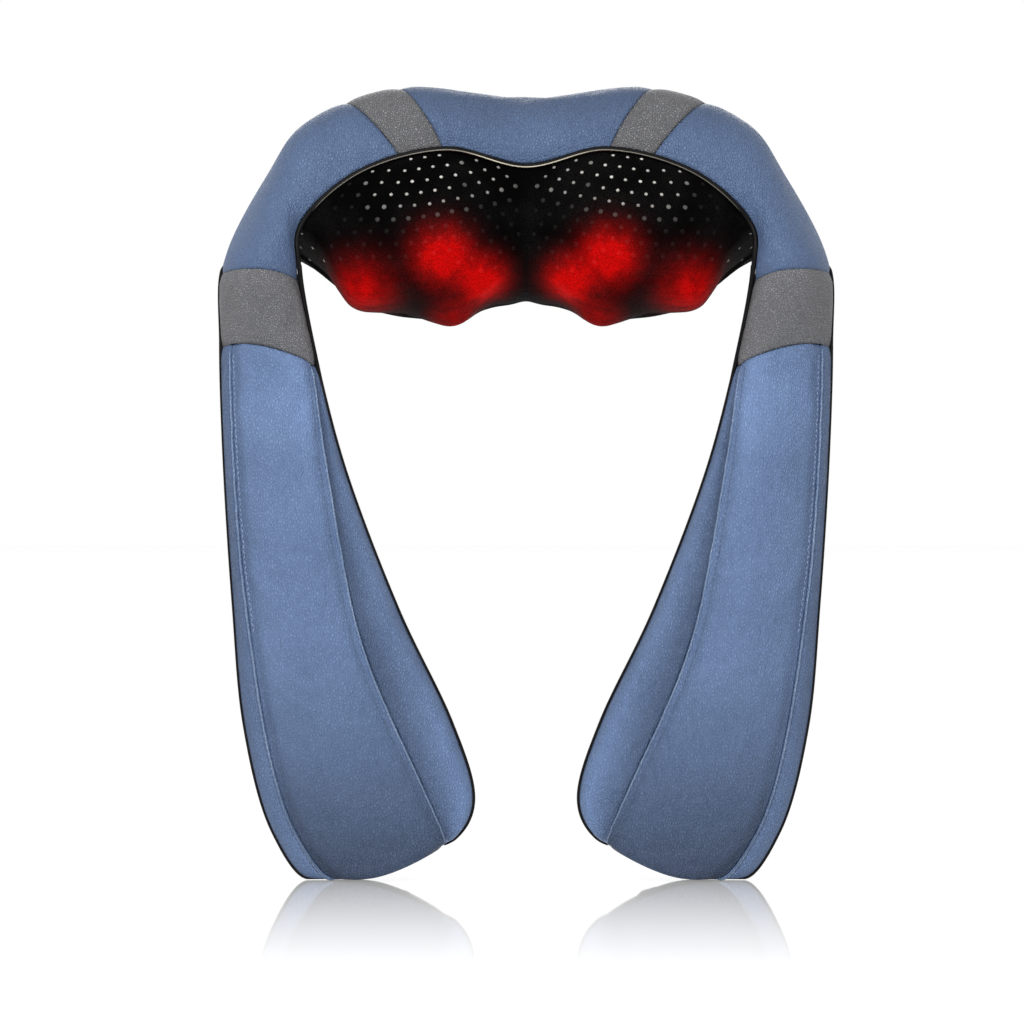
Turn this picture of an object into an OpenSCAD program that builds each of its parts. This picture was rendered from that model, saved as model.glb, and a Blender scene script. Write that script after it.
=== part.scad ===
// Shiatsu neck massager: a U-shaped strap with a padded yoke over the shoulders and two hand-pocket arms.
// Upright as it stands on its arm ends, +Z up, front faces -Y, origin under the middle of the object.

/* [Overall] */
// Overall width across the arms
body_w = 400; // [390:1:430]
// Height of the arms, from the floor to the underside of the yoke's shoulders
arm_h = 390; // [340:1:440]
// Offset that puts the origin midway between the front and the back
depth_shift = 7; // [0:0.5:15]

/* [Soft parts] */
// Thickness of the leather panels of the yoke
leather_t = 3.4; // [2:0.1:4]
// Thickness of the perforated massage cover
cover_t = 3; // [2:0.1:3.6]
// Thickness of the padded arm panels
arm_pad_t = 7; // [4:0.5:9]
// Diameter of the piping cords
piping_d = 4; // [3:0.2:5]
// Clearance between sewn neighbours
seam_gap = 0.3; // [0.2:0.05:0.6]
// Clearance between the foam and the panels over it
foam_gap = 1.3; // [1:0.1:2]
// Width of the zip opening along the yoke's lower back
zip_w = 9; // [7:0.5:12]

/* [Massage heads] */
// Distance between the two head axes
head_pitch = 124; // [118:1:128]
// Tilt of the head axes below the horizontal
head_tilt = 35; // [30:1:40]
// Head centre, from the origin towards the back
head_y = -31; // [-34:0.5:-28]
// Head centre above the underside of the yoke's shoulders
head_rise = 28; // [25:0.5:30]
// Radius of the circle that the two large nodes run on
long_arm = 33; // [28:0.5:34]
// Radius of the circle that the two small nodes run on
short_arm = 22; // [19:0.5:25]
// Diameter of a large node
large_node_d = 24; // [20:0.5:25]
// Diameter of a small node
small_node_d = 20; // [16:0.5:22]
// Height of the large nodes above the carrier
node_h = 21; // [18:0.5:22]
// Thickness of a head carrier
carrier_t = 4; // [3:0.5:5]
// Diameter of the output shafts
output_d = 8; // [6:0.5:9]

/* [Drive] */
// Teeth on each worm wheel
wheel_teeth = 36; // [30:1:38]
// Module of the worm gearing
gear_module = 1.25; // [1:0.05:1.3]
// Face width of a worm wheel
wheel_w = 7; // [5:0.5:8]
// Pitch diameter of the worms
worm_d = 10; // [9:0.5:12]
// Length of each worm
worm_l = 20; // [16:1:22]
// Backlash along the worm
backlash = 0.7; // [0.5:0.05:0.9]
// Diameter of the drive shaft
shaft_d = 5; // [4:0.5:6]
// Diameter of the motor can
motor_d = 30; // [26:1:32]
// Length of the motor can without its end cap
motor_l = 44; // [40:1:46]

/* [Casing] */
// Wall of the rear casing
wall = 2.4; // [1.8:0.2:3]
// Thickness of the front frame's plate
frame_t = 3; // [2.4:0.2:4]
// Depth of the rear casing behind the front frame
casing_h = 44; // [42:1:48]
// Corner radius of the casing
casing_r = 14; // [10:1:18]
// Thickness of the circuit boards
board_t = 1.6; // [1:0.2:2]
// Length of the battery pack
battery_l = 68; // [60:1:72]

/* [Control pod] */
// Length of the control pod's bezel
pod_w = 96; // [88:1:110]
// Height of the control pod's bezel
pod_h = 30; // [28:1:36]
// Depth of the pod behind the bezel face
pod_depth = 13; // [12:0.5:16]
// Diameter of the control buttons
button_d = 12; // [10:0.5:13]
// Travel of a button
button_travel = 0.9; // [0.5:0.1:1.2]

/* [Hidden] */
$fn = 48;

blue = [0.36, 0.46, 0.62];
gray = [0.47, 0.47, 0.48];
black = [0.07, 0.07, 0.08];
moulding = [0.16, 0.16, 0.18];
nylon = [0.85, 0.84, 0.78];
steel = [0.72, 0.73, 0.75];
copper = [0.70, 0.45, 0.25];
board_green = [0.10, 0.32, 0.20];
glow_red = [0.80, 0.10, 0.08];

// ---------- the strap's form ----------
// Ribs run round the strap from its inner edge over the leather to its outer edge and back over the lining.
// A rib is [inner edge, leather 1, leather 2, outer edge, lining 2, lining 1], four Bezier points a side.
// Yoke ribs are drawn from the shoulders' underside up, arm ribs as shares of the arm's height.
drawn_w = 400;
wide = body_w / drawn_w;

function yoke_point(p) = [p.x * wide, p.y + depth_shift, arm_h + p.z];
function arm_point(p) = [p.x * wide, p.y + depth_shift, arm_h * p.z];
function yoke_rib(points) = [for (p = points) yoke_point(p)];

arm_ease = 0.1;
function arm_rib(inner, outer, front, back) =
    let (a = arm_point(inner), c = arm_point(outer), w = (c - a) * arm_ease)
    [a, a + [0, -4 / 3 * front, 0] + w, c + [0, -4 / 3 * front, 0] - w,
     c, c + [0, 4 / 3 * back, 0] - w, a + [0, 4 / 3 * back, 0] + w];

ribs = [
    yoke_rib([[0, -58, 69.5], [0, -67, 181], [0, 112, 69], [0, 60, -8], [0, -46, -33], [0, -100, 11]]),
    yoke_rib([[52, -62, 80], [104, -76, 180], [88, 113, 81], [76, 60, -8], [46, -58, -61], [57, -134, 8]]),
    yoke_rib([[105.5, -62, 66], [180, -68, 143], [128, 106, 69], [114, 52, 2], [106, -40, -46], [110, -120, 8]]),
    yoke_rib([[142, -60, 35], [158, -90, 92], [194, 39.5, 47.5], [172, 26, 20], [150, -14, 28], [142, -60, 20]]),
    yoke_rib([[145.5, -62, 5], [159, -96, 17], [194, -74, 13], [196, -24, 8], [184, -2, 4], [150, -30, 6]]),
    arm_rib([134.5, -40, 0.862], [198, -26, 0.888], 22, 18),
    arm_rib([115, -32, 0.672], [195.5, -27, 0.688], 23, 20),
    arm_rib([82, -25, 0.449], [190, -24, 0.459], 24, 22),
    arm_rib([48, -17, 0.264], [183, -18, 0.255], 24, 23),
    arm_rib([33.5, -12, 0.133], [165, -12, 0.079], 23, 22),
    [for (p = [[51, -10, 0.059], [62, -40, 0.038], [112, -40, -0.022], [132, -10, -0.016],
        [112, 20, -0.022], [62, 20, 0.038]]) arm_point(p)],
    [for (p = [[92, -10, 0.03], [90, -40, 0.02], [84, -40, 0.02], [74, -10, 0.05],
        [84, 20, 0.02], [90, 20, 0.02]]) arm_point(p)]
];
hem_u = 10;
band_u = 4;
arm_u = 5;
pocket_u = 6.1;
seam1_u = 1;
seam2_u = 1.5;

function mirror_x(p) = [-p.x, p.y, p.z];
function spline(a, b, c, d, t) =
    0.5 * (2 * b + (c - a) * t + (2 * a - 5 * b + 4 * c - d) * t * t + (3 * b - a - 3 * c + d) * t * t * t);
function bezier(a, b, c, d, t) =
    pow(1 - t, 3) * a + 3 * pow(1 - t, 2) * t * b + 3 * (1 - t) * t * t * c + pow(t, 3) * d;

function rib(u) =
    let (i = min(floor(u), len(ribs) - 3), t = u - i)
    [for (k = [0:5]) spline(i == 0 ? mirror_x(ribs[1][k]) : ribs[i - 1][k],
        ribs[i][k], ribs[i + 1][k], ribs[i + 2][k], t)];

// A point of the strap's skin: side 1 is the leather, side 0 the lining, t runs from inner to outer edge.
function right_skin(side, u, t) =
    let (r = rib(u))
    side == 1 ? bezier(r[0], r[1], r[2], r[3], t) : bezier(r[0], r[5], r[4], r[3], t);
function skin(side, u, t) = u < 0 ? mirror_x(right_skin(side, -u, t)) : right_skin(side, u, t);

function unit(v) = v / norm(v);
function on_floor(p) = [p.x, p.y, max(p.z, 0)];
function rib_middle(u) = (skin(1, u, 0.5) + skin(0, u, 0.5) + skin(1, u, 0) + skin(1, u, 1)) / 4;

// Inward normal of the skin
function inward(side, u, t) =
    let (step = 0.02,
         n = cross(skin(side, u + step, t) - skin(side, u - step, t),
             skin(side, u, t + step) - skin(side, u, t - step)),
         p = skin(side, u, t))
    unit(n) * (n * (rib_middle(u) - p) > 0 ? 1 : -1);

// At an edge the panels are mitred towards the middle of the rib.
function edge_inward(side, u, t) = t == 0 || t == 1
    ? unit(rib_middle(u) - skin(side, u, t))
    : inward(side, u, t);

// The t that lies a given distance in from an edge
function t_in(side, u, t, gap) =
    let (step = 0.02, speed = norm(skin(side, u, t + step) - skin(side, u, t - step)) / (2 * step))
    gap / speed;
function u_in(u, gap) =
    let (step = 0.02, speed = norm(skin(1, u + step, 0.5) - skin(1, u - step, 0.5)) / (2 * step))
    gap / speed;

// ---------- solids from grids of points ----------
function flat_list(rows) = [for (r = rows) for (p = r) p];
function turned(faces, flip) = flip ? [for (f = faces) [f[0], f[2], f[1]]] : faces;

// A closed sheet between an outer and an inner grid of points
module slab(outer, inner) {
    nu = len(outer) - 1;
    nv = len(outer[0]) - 1;
    row = nv + 1;
    all_outer = (nu + 1) * row;
    du = outer[1][0] - outer[0][0];
    dv = outer[0][1] - outer[0][0];
    flip = cross(du, dv) * (inner[0][0] - outer[0][0]) < 0;
    cells = [for (i = [0:nu - 1]) for (j = [0:nv - 1]) [i * row + j, (i + 1) * row + j,
        (i + 1) * row + j + 1, i * row + j + 1]];
    low = [for (i = [0:nu - 1]) [i * row, (i + 1) * row]];
    high = [for (i = [0:nu - 1]) [i * row + nv, (i + 1) * row + nv]];
    first = [for (j = [0:nv - 1]) [j, j + 1]];
    last = [for (j = [0:nv - 1]) [nu * row + j, nu * row + j + 1]];
    faces = concat(
        [for (q = cells) [q[0], q[1], q[2]]],
        [for (q = cells) [q[0], q[2], q[3]]],
        [for (q = cells) [q[0], q[2], q[1]] + all_outer * [1, 1, 1]],
        [for (q = cells) [q[0], q[3], q[2]] + all_outer * [1, 1, 1]],
        [for (e = low) [e[0], e[0] + all_outer, e[1] + all_outer]],
        [for (e = low) [e[0], e[1] + all_outer, e[1]]],
        [for (e = high) [e[0], e[1] + all_outer, e[0] + all_outer]],
        [for (e = high) [e[0], e[1], e[1] + all_outer]],
        [for (e = first) [e[0], e[1] + all_outer, e[0] + all_outer]],
        [for (e = first) [e[0], e[1], e[1] + all_outer]],
        [for (e = last) [e[0], e[0] + all_outer, e[1] + all_outer]],
        [for (e = last) [e[0], e[1] + all_outer, e[1]]]);
    polyhedron(points = concat(flat_list(outer), flat_list(inner)), faces = turned(faces, flip));
}

// A closed solid through rings of points, with its two ends capped
module ring_solid(rings) {
    n = len(rings[0]);
    m = len(rings) - 1;
    middle = [for (r = rings) [for (i = [0:n - 1]) 1] * r / n];
    around = [for (i = [0:n - 1]) 1]
        * [for (j = [0:n - 1]) cross(rings[0][j] - middle[0], rings[0][(j + 1) % n] - middle[0])];
    flip = around * (middle[1] - middle[0]) < 0;
    start = len(rings) * n;
    faces = concat(
        [for (i = [0:m - 1]) for (j = [0:n - 1]) [i * n + j, (i + 1) * n + (j + 1) % n, i * n + (j + 1) % n]],
        [for (i = [0:m - 1]) for (j = [0:n - 1]) [i * n + j, (i + 1) * n + j, (i + 1) * n + (j + 1) % n]],
        [for (j = [0:n - 1]) [start, j, (j + 1) % n]],
        [for (j = [0:n - 1]) [start + 1, m * n + (j + 1) % n, m * n + j]]);
    polyhedron(points = concat(flat_list(rings), [middle[0], middle[m]]), faces = turned(faces, flip));
}

// A round cord through a list of points
module cord(path, d, sides) {
    last = len(path) - 1;
    ring_solid([for (i = [0:last])
        let (along = unit(path[min(i + 1, last)] - path[max(i - 1, 0)]),
             side = unit(cross(along, abs(along.y) < 0.9 ? [0, 1, 0] : [1, 0, 0])),
             up = cross(along, side))
        [for (k = [0:sides - 1]) path[i] + d / 2 * (cos(360 * k / sides) * side + sin(360 * k / sides) * up)]]);
}

// A panel of the skin from u0 to u1 and from t0(u) to t1(u), which are mitred where they are 0 or 1.
// The hem is cut level, so that the arm's end has a flat to stand on.
module panel(side, u0, u1, nu, nt, thick, t0, t1, edge0 = 0, edge1 = 0) {
    grid = [for (i = [0:nu])
        let (u = u0 + (u1 - u0) * i / nu,
             a = t0(u) + t_in(side, u, t0(u), edge0),
             b = t1(u) - t_in(side, u, t1(u), edge1))
        [for (j = [0:nt])
            let (t = a + (b - a) * j / nt,
                 n = j == 0 && t0(u) == 0 ? edge_inward(side, u, 0)
                     : j == nt && t1(u) == 1 ? edge_inward(side, u, 1)
                     : inward(side, u, t),
                 p = skin(side, u, t))
            [on_floor(p), on_floor(p + (u == hem_u ? unit([n.x, n.y, 0]) : n) * thick)]]];
    slab([for (r = grid) [for (p = r) p[0]]], [for (r = grid) [for (p = r) p[1]]]);
}

inner_edge = function (u) 0;
outer_edge = function (u) 1;
piping_seat = piping_d / 2 + seam_gap;
cover_seat = piping_seat + 1;

// ---------- yoke ----------
module yoke_panel(u0, u1, nu) {
    panel(1, u0, u1, nu, 10, leather_t, inner_edge, outer_edge, piping_seat, zip_w / 2);
}

module center_panel() {
    color(blue) difference() {
        yoke_panel(-seam1_u + u_in(seam1_u, seam_gap / 2), seam1_u - u_in(seam1_u, seam_gap / 2), 10);
        pod_frame() pod_opening();
    }
}

module yoke_band() {
    color(gray) yoke_panel(seam1_u + u_in(seam1_u, seam_gap / 2), seam2_u - u_in(seam2_u, seam_gap / 2), 3);
}

module shoulder_panel() {
    color(blue) yoke_panel(seam2_u + u_in(seam2_u, seam_gap / 2), band_u - u_in(band_u, seam_gap / 2), 12);
}

cover_u = 3.94;
module massage_cover() {
    color(black) panel(0, -cover_u, cover_u, 34, 9, cover_t, inner_edge, outer_edge, cover_seat, zip_w / 2);
}

// The piping lies in the edge seam, a little proud of it.
piping_proud = 1.2;
cover_piping_proud = piping_d / 2 + 0.8;
function piping_point(u, t, proud) =
    let (p = skin(1, u, t))
    p + unit(p - rib_middle(u)) * proud;

module cover_piping() {
    steps = 40;
    end_u = band_u - u_in(band_u, seam_gap);
    color(black) cord([for (i = [0:steps]) piping_point(-end_u + 2 * end_u * i / steps, 0, cover_piping_proud)],
        piping_d, 8);
}

// The zip closes the seam between the leather and the cover, along the lower back edge.
zip_end_u = 3;
zip_t = 1.6;
function zip_side(side, u) = skin(side, u, 1 - t_in(side, u, 1, zip_w / 2));
module zip_tape() {
    steps = 24;
    color(black) ring_solid([for (i = [0:steps])
        let (u = -zip_end_u + 2 * zip_end_u * i / steps,
             a = zip_side(1, u),
             b = zip_side(0, u),
             w = unit(b - a),
             n = edge_inward(1, u, 1))
        [a + w * seam_gap, b - w * seam_gap, b - w * seam_gap + n * zip_t, a + w * seam_gap + n * zip_t]]);
}

// ---------- arms ----------
function seam_path(knots, u) =
    let (last = len(knots) - 1,
         i = max([for (k = [0:last - 1]) knots[k][0] <= u ? k : 0]),
         a = knots[i], b = knots[i + 1],
         s = (u - a[0]) / (b[0] - a[0]))
    a[1] + (b[1] - a[1]) * s;
inner_knots = [[5, 0.14], [6, 0.25], [7, 0.33], [8, 0.34], [9, 0.29], [10, 0.07]];
outer_knots = [[5, 0.8], [6, 0.85], [7, 0.86], [8, 0.86], [9, 0.84], [10, 0.93]];
inner_seam = function (u) seam_path(inner_knots, u);
outer_seam = function (u) seam_path(outer_knots, u);

arm_start_u = arm_u + u_in(arm_u, seam_gap / 2);
arm_steps = 16;
half_seam = seam_gap / 2;

module arm_band() {
    color(gray) panel(1, band_u + u_in(band_u, half_seam), arm_u - u_in(arm_u, half_seam), 4, 8, leather_t,
        inner_edge, outer_edge, piping_seat, piping_seat);
}

module arm_front() {
    color(blue) panel(1, arm_start_u, hem_u, arm_steps, 6, arm_pad_t,
        inner_seam, outer_seam, half_seam, half_seam);
}

module inner_gusset() {
    color(blue) panel(1, arm_start_u, hem_u, arm_steps, 3, arm_pad_t, inner_edge, inner_seam,
        piping_seat, half_seam);
}

module outer_gusset() {
    color(blue) panel(1, arm_start_u, hem_u, arm_steps, 2, arm_pad_t, outer_seam, outer_edge,
        half_seam, piping_seat);
}

module arm_lining() {
    color(black) panel(0, band_u + u_in(band_u, half_seam), hem_u, arm_steps + 3, 8, arm_pad_t,
        inner_edge, outer_edge, piping_seat, piping_seat);
}

module edge_piping(t, start_proud) {
    steps = 30;
    start_u = band_u + u_in(band_u, seam_gap);
    color(black) cord([for (i = [0:steps])
        let (s = i / steps,
             u = start_u + (hem_u - start_u) * s,
             proud = start_proud + (piping_proud - start_proud) * min(1, s * 3),
             p = piping_point(u, t, proud))
        [p.x, p.y, max(p.z, piping_d / 2 + 0.1)]], piping_d, 8);
}

// Foam that fills the top of the arm, down to the pocket's end
module arm_foam() {
    color(gray) inner_solid(band_u + 0.35, pocket_u, 5, arm_pad_t + foam_gap, arm_pad_t + foam_gap);
}

// The space inside the skin, as a solid
module inner_solid(u0, u1, nu, leather_in, cover_in) {
    nt = 8;
    crease = 4 * max(leather_in, cover_in);
    ring_solid([for (i = [0:nu])
        let (u = u0 + (u1 - u0) * i / nu)
        concat(
            [skin(1, u, 0) + edge_inward(1, u, 0) * crease],
            [for (j = [1:nt - 1])
                let (t = j / nt)
                skin(1, u, t) + inward(1, u, t) * leather_in],
            [for (j = [1:nt - 1])
                let (t = 1 - j / nt)
                skin(0, u, t) + inward(0, u, t) * cover_in])]);
}

// The foam stops short of the shoulders' seams, and keeps a little more room under the stretched cover.
yoke_foam_u = 3.35;
cover_slack = 0.8;
module yoke_foam() {
    color(gray) difference() {
        inner_solid(-yoke_foam_u, yoke_foam_u, 24, leather_t + foam_gap, cover_t + foam_gap + cover_slack);
        head_frame() foam_cavity();
        pod_frame() pod_cavity();
    }
}

// ---------- mechanism, in the heads' own frame: Z along the head axes towards the neck ----------
module head_frame() {
    translate([0, head_y, arm_h + head_rise]) rotate([90 + head_tilt, 0, 0]) children();
}

run_gap = 0.2;
fit_gap = 0.3;
led_h = 4.4;
led_clear = 4;
frame_z = -(carrier_t / 2 + led_clear + led_h + board_t);
frame_back = frame_z - frame_t;
wheel_clear = 3;
wheel_front = frame_back - wheel_clear;
wheel_back = wheel_front - wheel_w;
worm_z = wheel_front - wheel_w / 2;
wheel_r = gear_module * wheel_teeth / 2;
wheel_tip_r = wheel_r + gear_module;
wheel_root_r = wheel_r - 1.2 * gear_module;
worm_tip_r = worm_d / 2 + 0.9 * gear_module;
worm_root_r = worm_d / 2 - 1.25 * gear_module;
centre_y = wheel_r + worm_d / 2;
lead = PI * gear_module;
lead_angle = atan(lead / (PI * worm_d));
casing_back = frame_back - casing_h;
bush_wall = 2;
bush_h = 6;
bush_d = output_d + 2 * bush_wall;
hub_d = 18;
hub_back = -(carrier_t / 2 + 4);
hub_front = carrier_t / 2 + 2;
boss_front = hub_back - 1.6;
rear_seat = wheel_back - 1.5;
shaft_end = rear_seat - bush_h - 1;
cap_l = 6;
bulge_wall = 2;
motor_clear = 0.5;
bulge_r = motor_d / 2 + motor_clear + bulge_wall;
bulge_half = (motor_l + cap_l) / 2 + 4;
casing_half = head_pitch / 2 + wheel_tip_r + 4 + wall;
casing_top = wheel_tip_r + 3 + wall;
casing_low = centre_y + worm_tip_r + 3 + wall;
worm_bush_x = head_pitch / 2 + worm_l / 2 + 1.5;
worm_bush_l = 5;

module rounded(w, h, r) {
    square([w - 2 * r, h], center = true);
    square([w, h - 2 * r], center = true);
    for (x = [-1, 1]) for (y = [-1, 1]) translate([x * (w / 2 - r), y * (h / 2 - r)]) circle(r);
}

module casing_outline(grow) {
    translate([0, (casing_top - casing_low) / 2])
        rounded(2 * (casing_half + grow), casing_top + casing_low + 2 * grow, casing_r + grow);
    translate([0, -centre_y])
        rounded(2 * (bulge_half + grow), 2 * (bulge_r + grow), 8 + grow);
}

module along_x(x, y, z) {
    translate([x, y, z]) rotate([0, 90, 0]) children();
}

module sides() {
    for (s = [-1, 1]) translate([s * head_pitch / 2, 0, 0]) children();
}

// Places of the six casing screws
screw_in = 6.5;
screw_places = [for (s = [-1, 1]) for (p = [[casing_half - screw_in, casing_top - screw_in],
    [casing_half - screw_in, screw_in - casing_low], [battery_l / 2 + 4.5, casing_top - screw_in]])
    [s * p.x, p.y]];
screw_d = 3;

module foam_cavity() {
    translate([0, 0, casing_back - fit_gap]) linear_extrude(-casing_back + fit_gap + frame_z + 0.5)
        casing_outline(foam_gap);
    sides() translate([0, 0, frame_z]) cylinder(h = 90, r = long_arm + large_node_d / 2 + 1.5);
    along_x(-bulge_half - fit_gap, -centre_y, worm_z)
        cylinder(h = 2 * (bulge_half + fit_gap), r = bulge_r + fit_gap);
}

module front_frame() {
    color(moulding) head_frame() difference() {
        union() {
            translate([0, 0, frame_back]) linear_extrude(frame_t) casing_outline(0);
            intersection() {
                along_x(-bulge_half, -centre_y, worm_z) cylinder(h = 2 * bulge_half, r = bulge_r);
                translate([-bulge_half, -centre_y - bulge_r, frame_back])
                    cube([2 * bulge_half, 2 * bulge_r, 2 * bulge_r]);
            }
            sides() translate([0, 0, frame_back - wheel_clear + 0.5])
                cylinder(h = boss_front - frame_back + wheel_clear - 0.5, d = hub_d);
            for (x = board_posts_x) for (y = board_posts_y) translate([x, y, board_z + board_t])
                cylinder(h = frame_back - board_z - board_t + 0.1, d = 6);
        }
        sides() translate([0, 0, frame_back - 5]) cylinder(h = 20, d = bush_d);
        along_x(-bulge_half + bulge_wall, -centre_y, worm_z)
            cylinder(h = 2 * (bulge_half - bulge_wall), r = motor_d / 2 + motor_clear);
        for (p = screw_places) translate([p.x, p.y, frame_back - 1]) cylinder(h = 10, d = screw_d + 0.4);
    }
}

module rear_casing() {
    inside = casing_back + wall;
    color(moulding) head_frame() difference() {
        union() {
            difference() {
                translate([0, 0, casing_back]) linear_extrude(casing_h) casing_outline(0);
                translate([0, 0, inside]) linear_extrude(casing_h) casing_outline(-wall);
            }
            sides() {
                translate([0, 0, inside - 0.1]) cylinder(h = rear_seat - inside + 0.1, d = bush_d + 4);
                for (a = [0:90:270]) rotate([0, 0, a + 45]) translate([0, -0.9, inside - 0.1])
                    cube([16, 1.8, rear_seat - inside - 5]);
            }
            for (p = screw_places) translate([p.x, p.y, inside - 0.1])
                cylinder(h = frame_back - inside + 0.1, d = 8);
            for (s = [-1, 1]) {
                translate([s * motor_l / 3 - 1.2, -centre_y - motor_d / 2 - 1, inside - 0.1])
                    cube([2.4, motor_d - 2, worm_z - inside - 4]);
                translate([s * (worm_bush_x + worm_bush_l / 2) - worm_bush_l / 2, -centre_y - 5.5, inside - 0.1])
                    cube([worm_bush_l, 11, frame_back - fit_gap - inside]);
            }
        }
        sides() translate([0, 0, shaft_end - 0.5]) cylinder(h = 60, d = bush_d);
        along_x(wall - bulge_half, -centre_y, worm_z)
            cylinder(h = 2 * (bulge_half - wall), r = motor_d / 2 + motor_clear / 2);
        for (s = [-1, 1]) along_x(s * (worm_bush_x + worm_bush_l / 2) - worm_bush_l / 2 - 0.1, -centre_y, worm_z)
            cylinder(h = worm_bush_l + 0.2, d = shaft_d + 4);
        for (p = screw_places) translate([p.x, p.y, frame_back - 12]) cylinder(h = 14, d = screw_d);
    }
}

module casing_screws() {
    color(steel) head_frame() for (p = screw_places) translate([p.x, p.y, frame_z]) difference() {
        union() {
            cylinder(h = 2.2, d = 6);
            translate([0, 0, -10]) cylinder(h = 10.1, d = screw_d);
        }
        translate([0, 0, 1]) for (a = [0, 90]) rotate([0, 0, a]) translate([-1.7, -0.4, 0]) cube([3.4, 0.8, 2]);
    }
}

module tube(h, outer, inner) {
    difference() {
        cylinder(h = h, d = outer);
        translate([0, 0, -1]) cylinder(h = h + 2, d = inner);
    }
}

module shaft_bushes() {
    color(copper) head_frame() sides() {
        translate([0, 0, frame_back - wheel_clear + 0.5])
            tube(boss_front - frame_back + wheel_clear - 0.5, bush_d, output_d + run_gap);
        translate([0, 0, rear_seat - bush_h]) tube(bush_h, bush_d, output_d + run_gap);
    }
}

module worm_bushes() {
    color(copper) head_frame() for (s = [-1, 1])
        along_x(s * (worm_bush_x + worm_bush_l / 2) - worm_bush_l / 2, -centre_y, worm_z)
            tube(worm_bush_l, shaft_d + 4, shaft_d + run_gap);
}

module motor_can() {
    color(steel) head_frame() along_x(-(motor_l + cap_l) / 2, -centre_y, worm_z) difference() {
        cylinder(h = motor_l, d = motor_d);
        translate([0, 0, -1]) cylinder(h = motor_l + 2, d = shaft_d + 2 * run_gap);
    }
}

module motor_cap() {
    color(black) head_frame() along_x(motor_l - (motor_l + cap_l) / 2, -centre_y, worm_z) difference() {
        cylinder(h = cap_l, d1 = motor_d, d2 = motor_d - 3);
        translate([0, 0, -1]) cylinder(h = cap_l + 2, d = shaft_d + 2 * run_gap);
    }
}

// Worm thread: a trapezoid swept along the helix, sunk into the worm's core
module worm_thread(hand) {
    steps = 20;
    turns = (worm_l - 4) / lead;
    half_pitch = lead / 4 - backlash / 4;
    slope = tan(20);
    deep = worm_d / 2 - worm_root_r + 0.3;
    high = worm_tip_r - worm_d / 2;
    ring_solid([for (i = [0:ceil(turns * steps)])
        let (a = 360 * (i / steps - turns / 2 - 0.5),
             x = lead * a / 360 + lead / 2,
             root = half_pitch + slope * deep,
             tip = half_pitch - slope * high)
        [for (q = [[x - root, worm_root_r - 0.3], [x - tip, worm_tip_r], [x + tip, worm_tip_r],
            [x + root, worm_root_r - 0.3]])
            [q.x, q[1] * cos(a), q[1] * sin(a) * hand]]]);
}

module drive_shaft() {
    shaft_half = worm_bush_x + worm_bush_l + 1;
    color(steel) head_frame() translate([0, -centre_y, worm_z]) {
        along_x(-shaft_half, 0, 0) cylinder(h = 2 * shaft_half, d = shaft_d);
        for (s = [-1, 1]) {
            along_x(s * head_pitch / 2 - worm_l / 2, 0, 0) cylinder(h = worm_l, r = worm_root_r);
            translate([s * head_pitch / 2, 0, 0]) worm_thread(-s);
        }
    }
}

module worm_wheel(side) {
    tooth_root = (lead / 2 - backlash / 2) / 2 + tan(20) * (wheel_r - wheel_root_r);
    tooth_tip = (lead / 2 - backlash / 2) / 2 - tan(20) * gear_module;
    color(nylon) head_frame() translate([side * head_pitch / 2, 0, wheel_back]) difference() {
        union() {
            cylinder(h = wheel_w, r = wheel_root_r);
            for (i = [0:wheel_teeth - 1]) rotate([0, 0, i * 360 / wheel_teeth - 90])
                translate([wheel_root_r - 1, 0, wheel_w / 2]) rotate([side * lead_angle, 0, 0])
                    linear_extrude(wheel_w, center = true)
                        polygon([[0, -tooth_root], [1, -tooth_root], [1 + wheel_tip_r - wheel_root_r, -tooth_tip],
                            [1 + wheel_tip_r - wheel_root_r, tooth_tip], [1, tooth_root], [0, tooth_root]]);
        }
        translate([0, 0, -1]) cylinder(h = wheel_w + 2, d = output_d);
        translate([0, 0, wheel_w - 1.5]) tube(3, 2 * wheel_root_r - 6, hub_d);
        translate([0, 0, -1.5]) tube(3, 2 * wheel_root_r - 6, hub_d);
    }
}

module output_shaft(side) {
    color(steel) head_frame() translate([side * head_pitch / 2, 0, 0]) {
        translate([0, 0, shaft_end]) cylinder(h = hub_front - shaft_end, d = output_d);
        translate([0, 0, hub_front]) cylinder(h = 2.4, d = output_d + 5);
    }
}

// Four-armed carrier with a pin for each node
pin_d = 6;
pin_h = 7;
module head_carrier(side) {
    color(moulding) head_frame() translate([side * head_pitch / 2, 0, 0]) difference() {
        union() {
            translate([0, 0, hub_back]) cylinder(h = hub_front - hub_back, d = hub_d);
            for (arm = [[0, long_arm, large_node_d], [90, short_arm, small_node_d]]) rotate([0, 0, arm[0]]) {
                translate([-arm[1], -arm[2] / 3, -carrier_t / 2]) cube([2 * arm[1], arm[2] / 1.5, carrier_t]);
                for (s = [-1, 1]) translate([s * arm[1], 0, -carrier_t / 2]) {
                    cylinder(h = carrier_t, r = arm[2] / 3);
                    cylinder(h = carrier_t + pin_h, d = pin_d);
                }
            }
        }
        translate([0, 0, hub_back - 1]) cylinder(h = hub_front - hub_back + 2, d = output_d);
    }
}

// A pair of domed nodes on their pins
module node_pair(side, turn, arm, d, h) {
    color(glow_red) head_frame() translate([side * head_pitch / 2, 0, carrier_t / 2]) rotate([0, 0, turn])
        for (s = [-1, 1]) translate([s * arm, 0, 0]) difference() {
            union() {
                cylinder(h = h - d / 2, r = d / 3);
                translate([0, 0, h - d / 2]) intersection() {
                    sphere(d = d);
                    translate([0, 0, 1.5 - h + d / 2]) cylinder(h = h, d = d + 1);
                }
            }
            translate([0, 0, -1]) cylinder(h = pin_h + 1.5, d = pin_d);
        }
}

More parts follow.
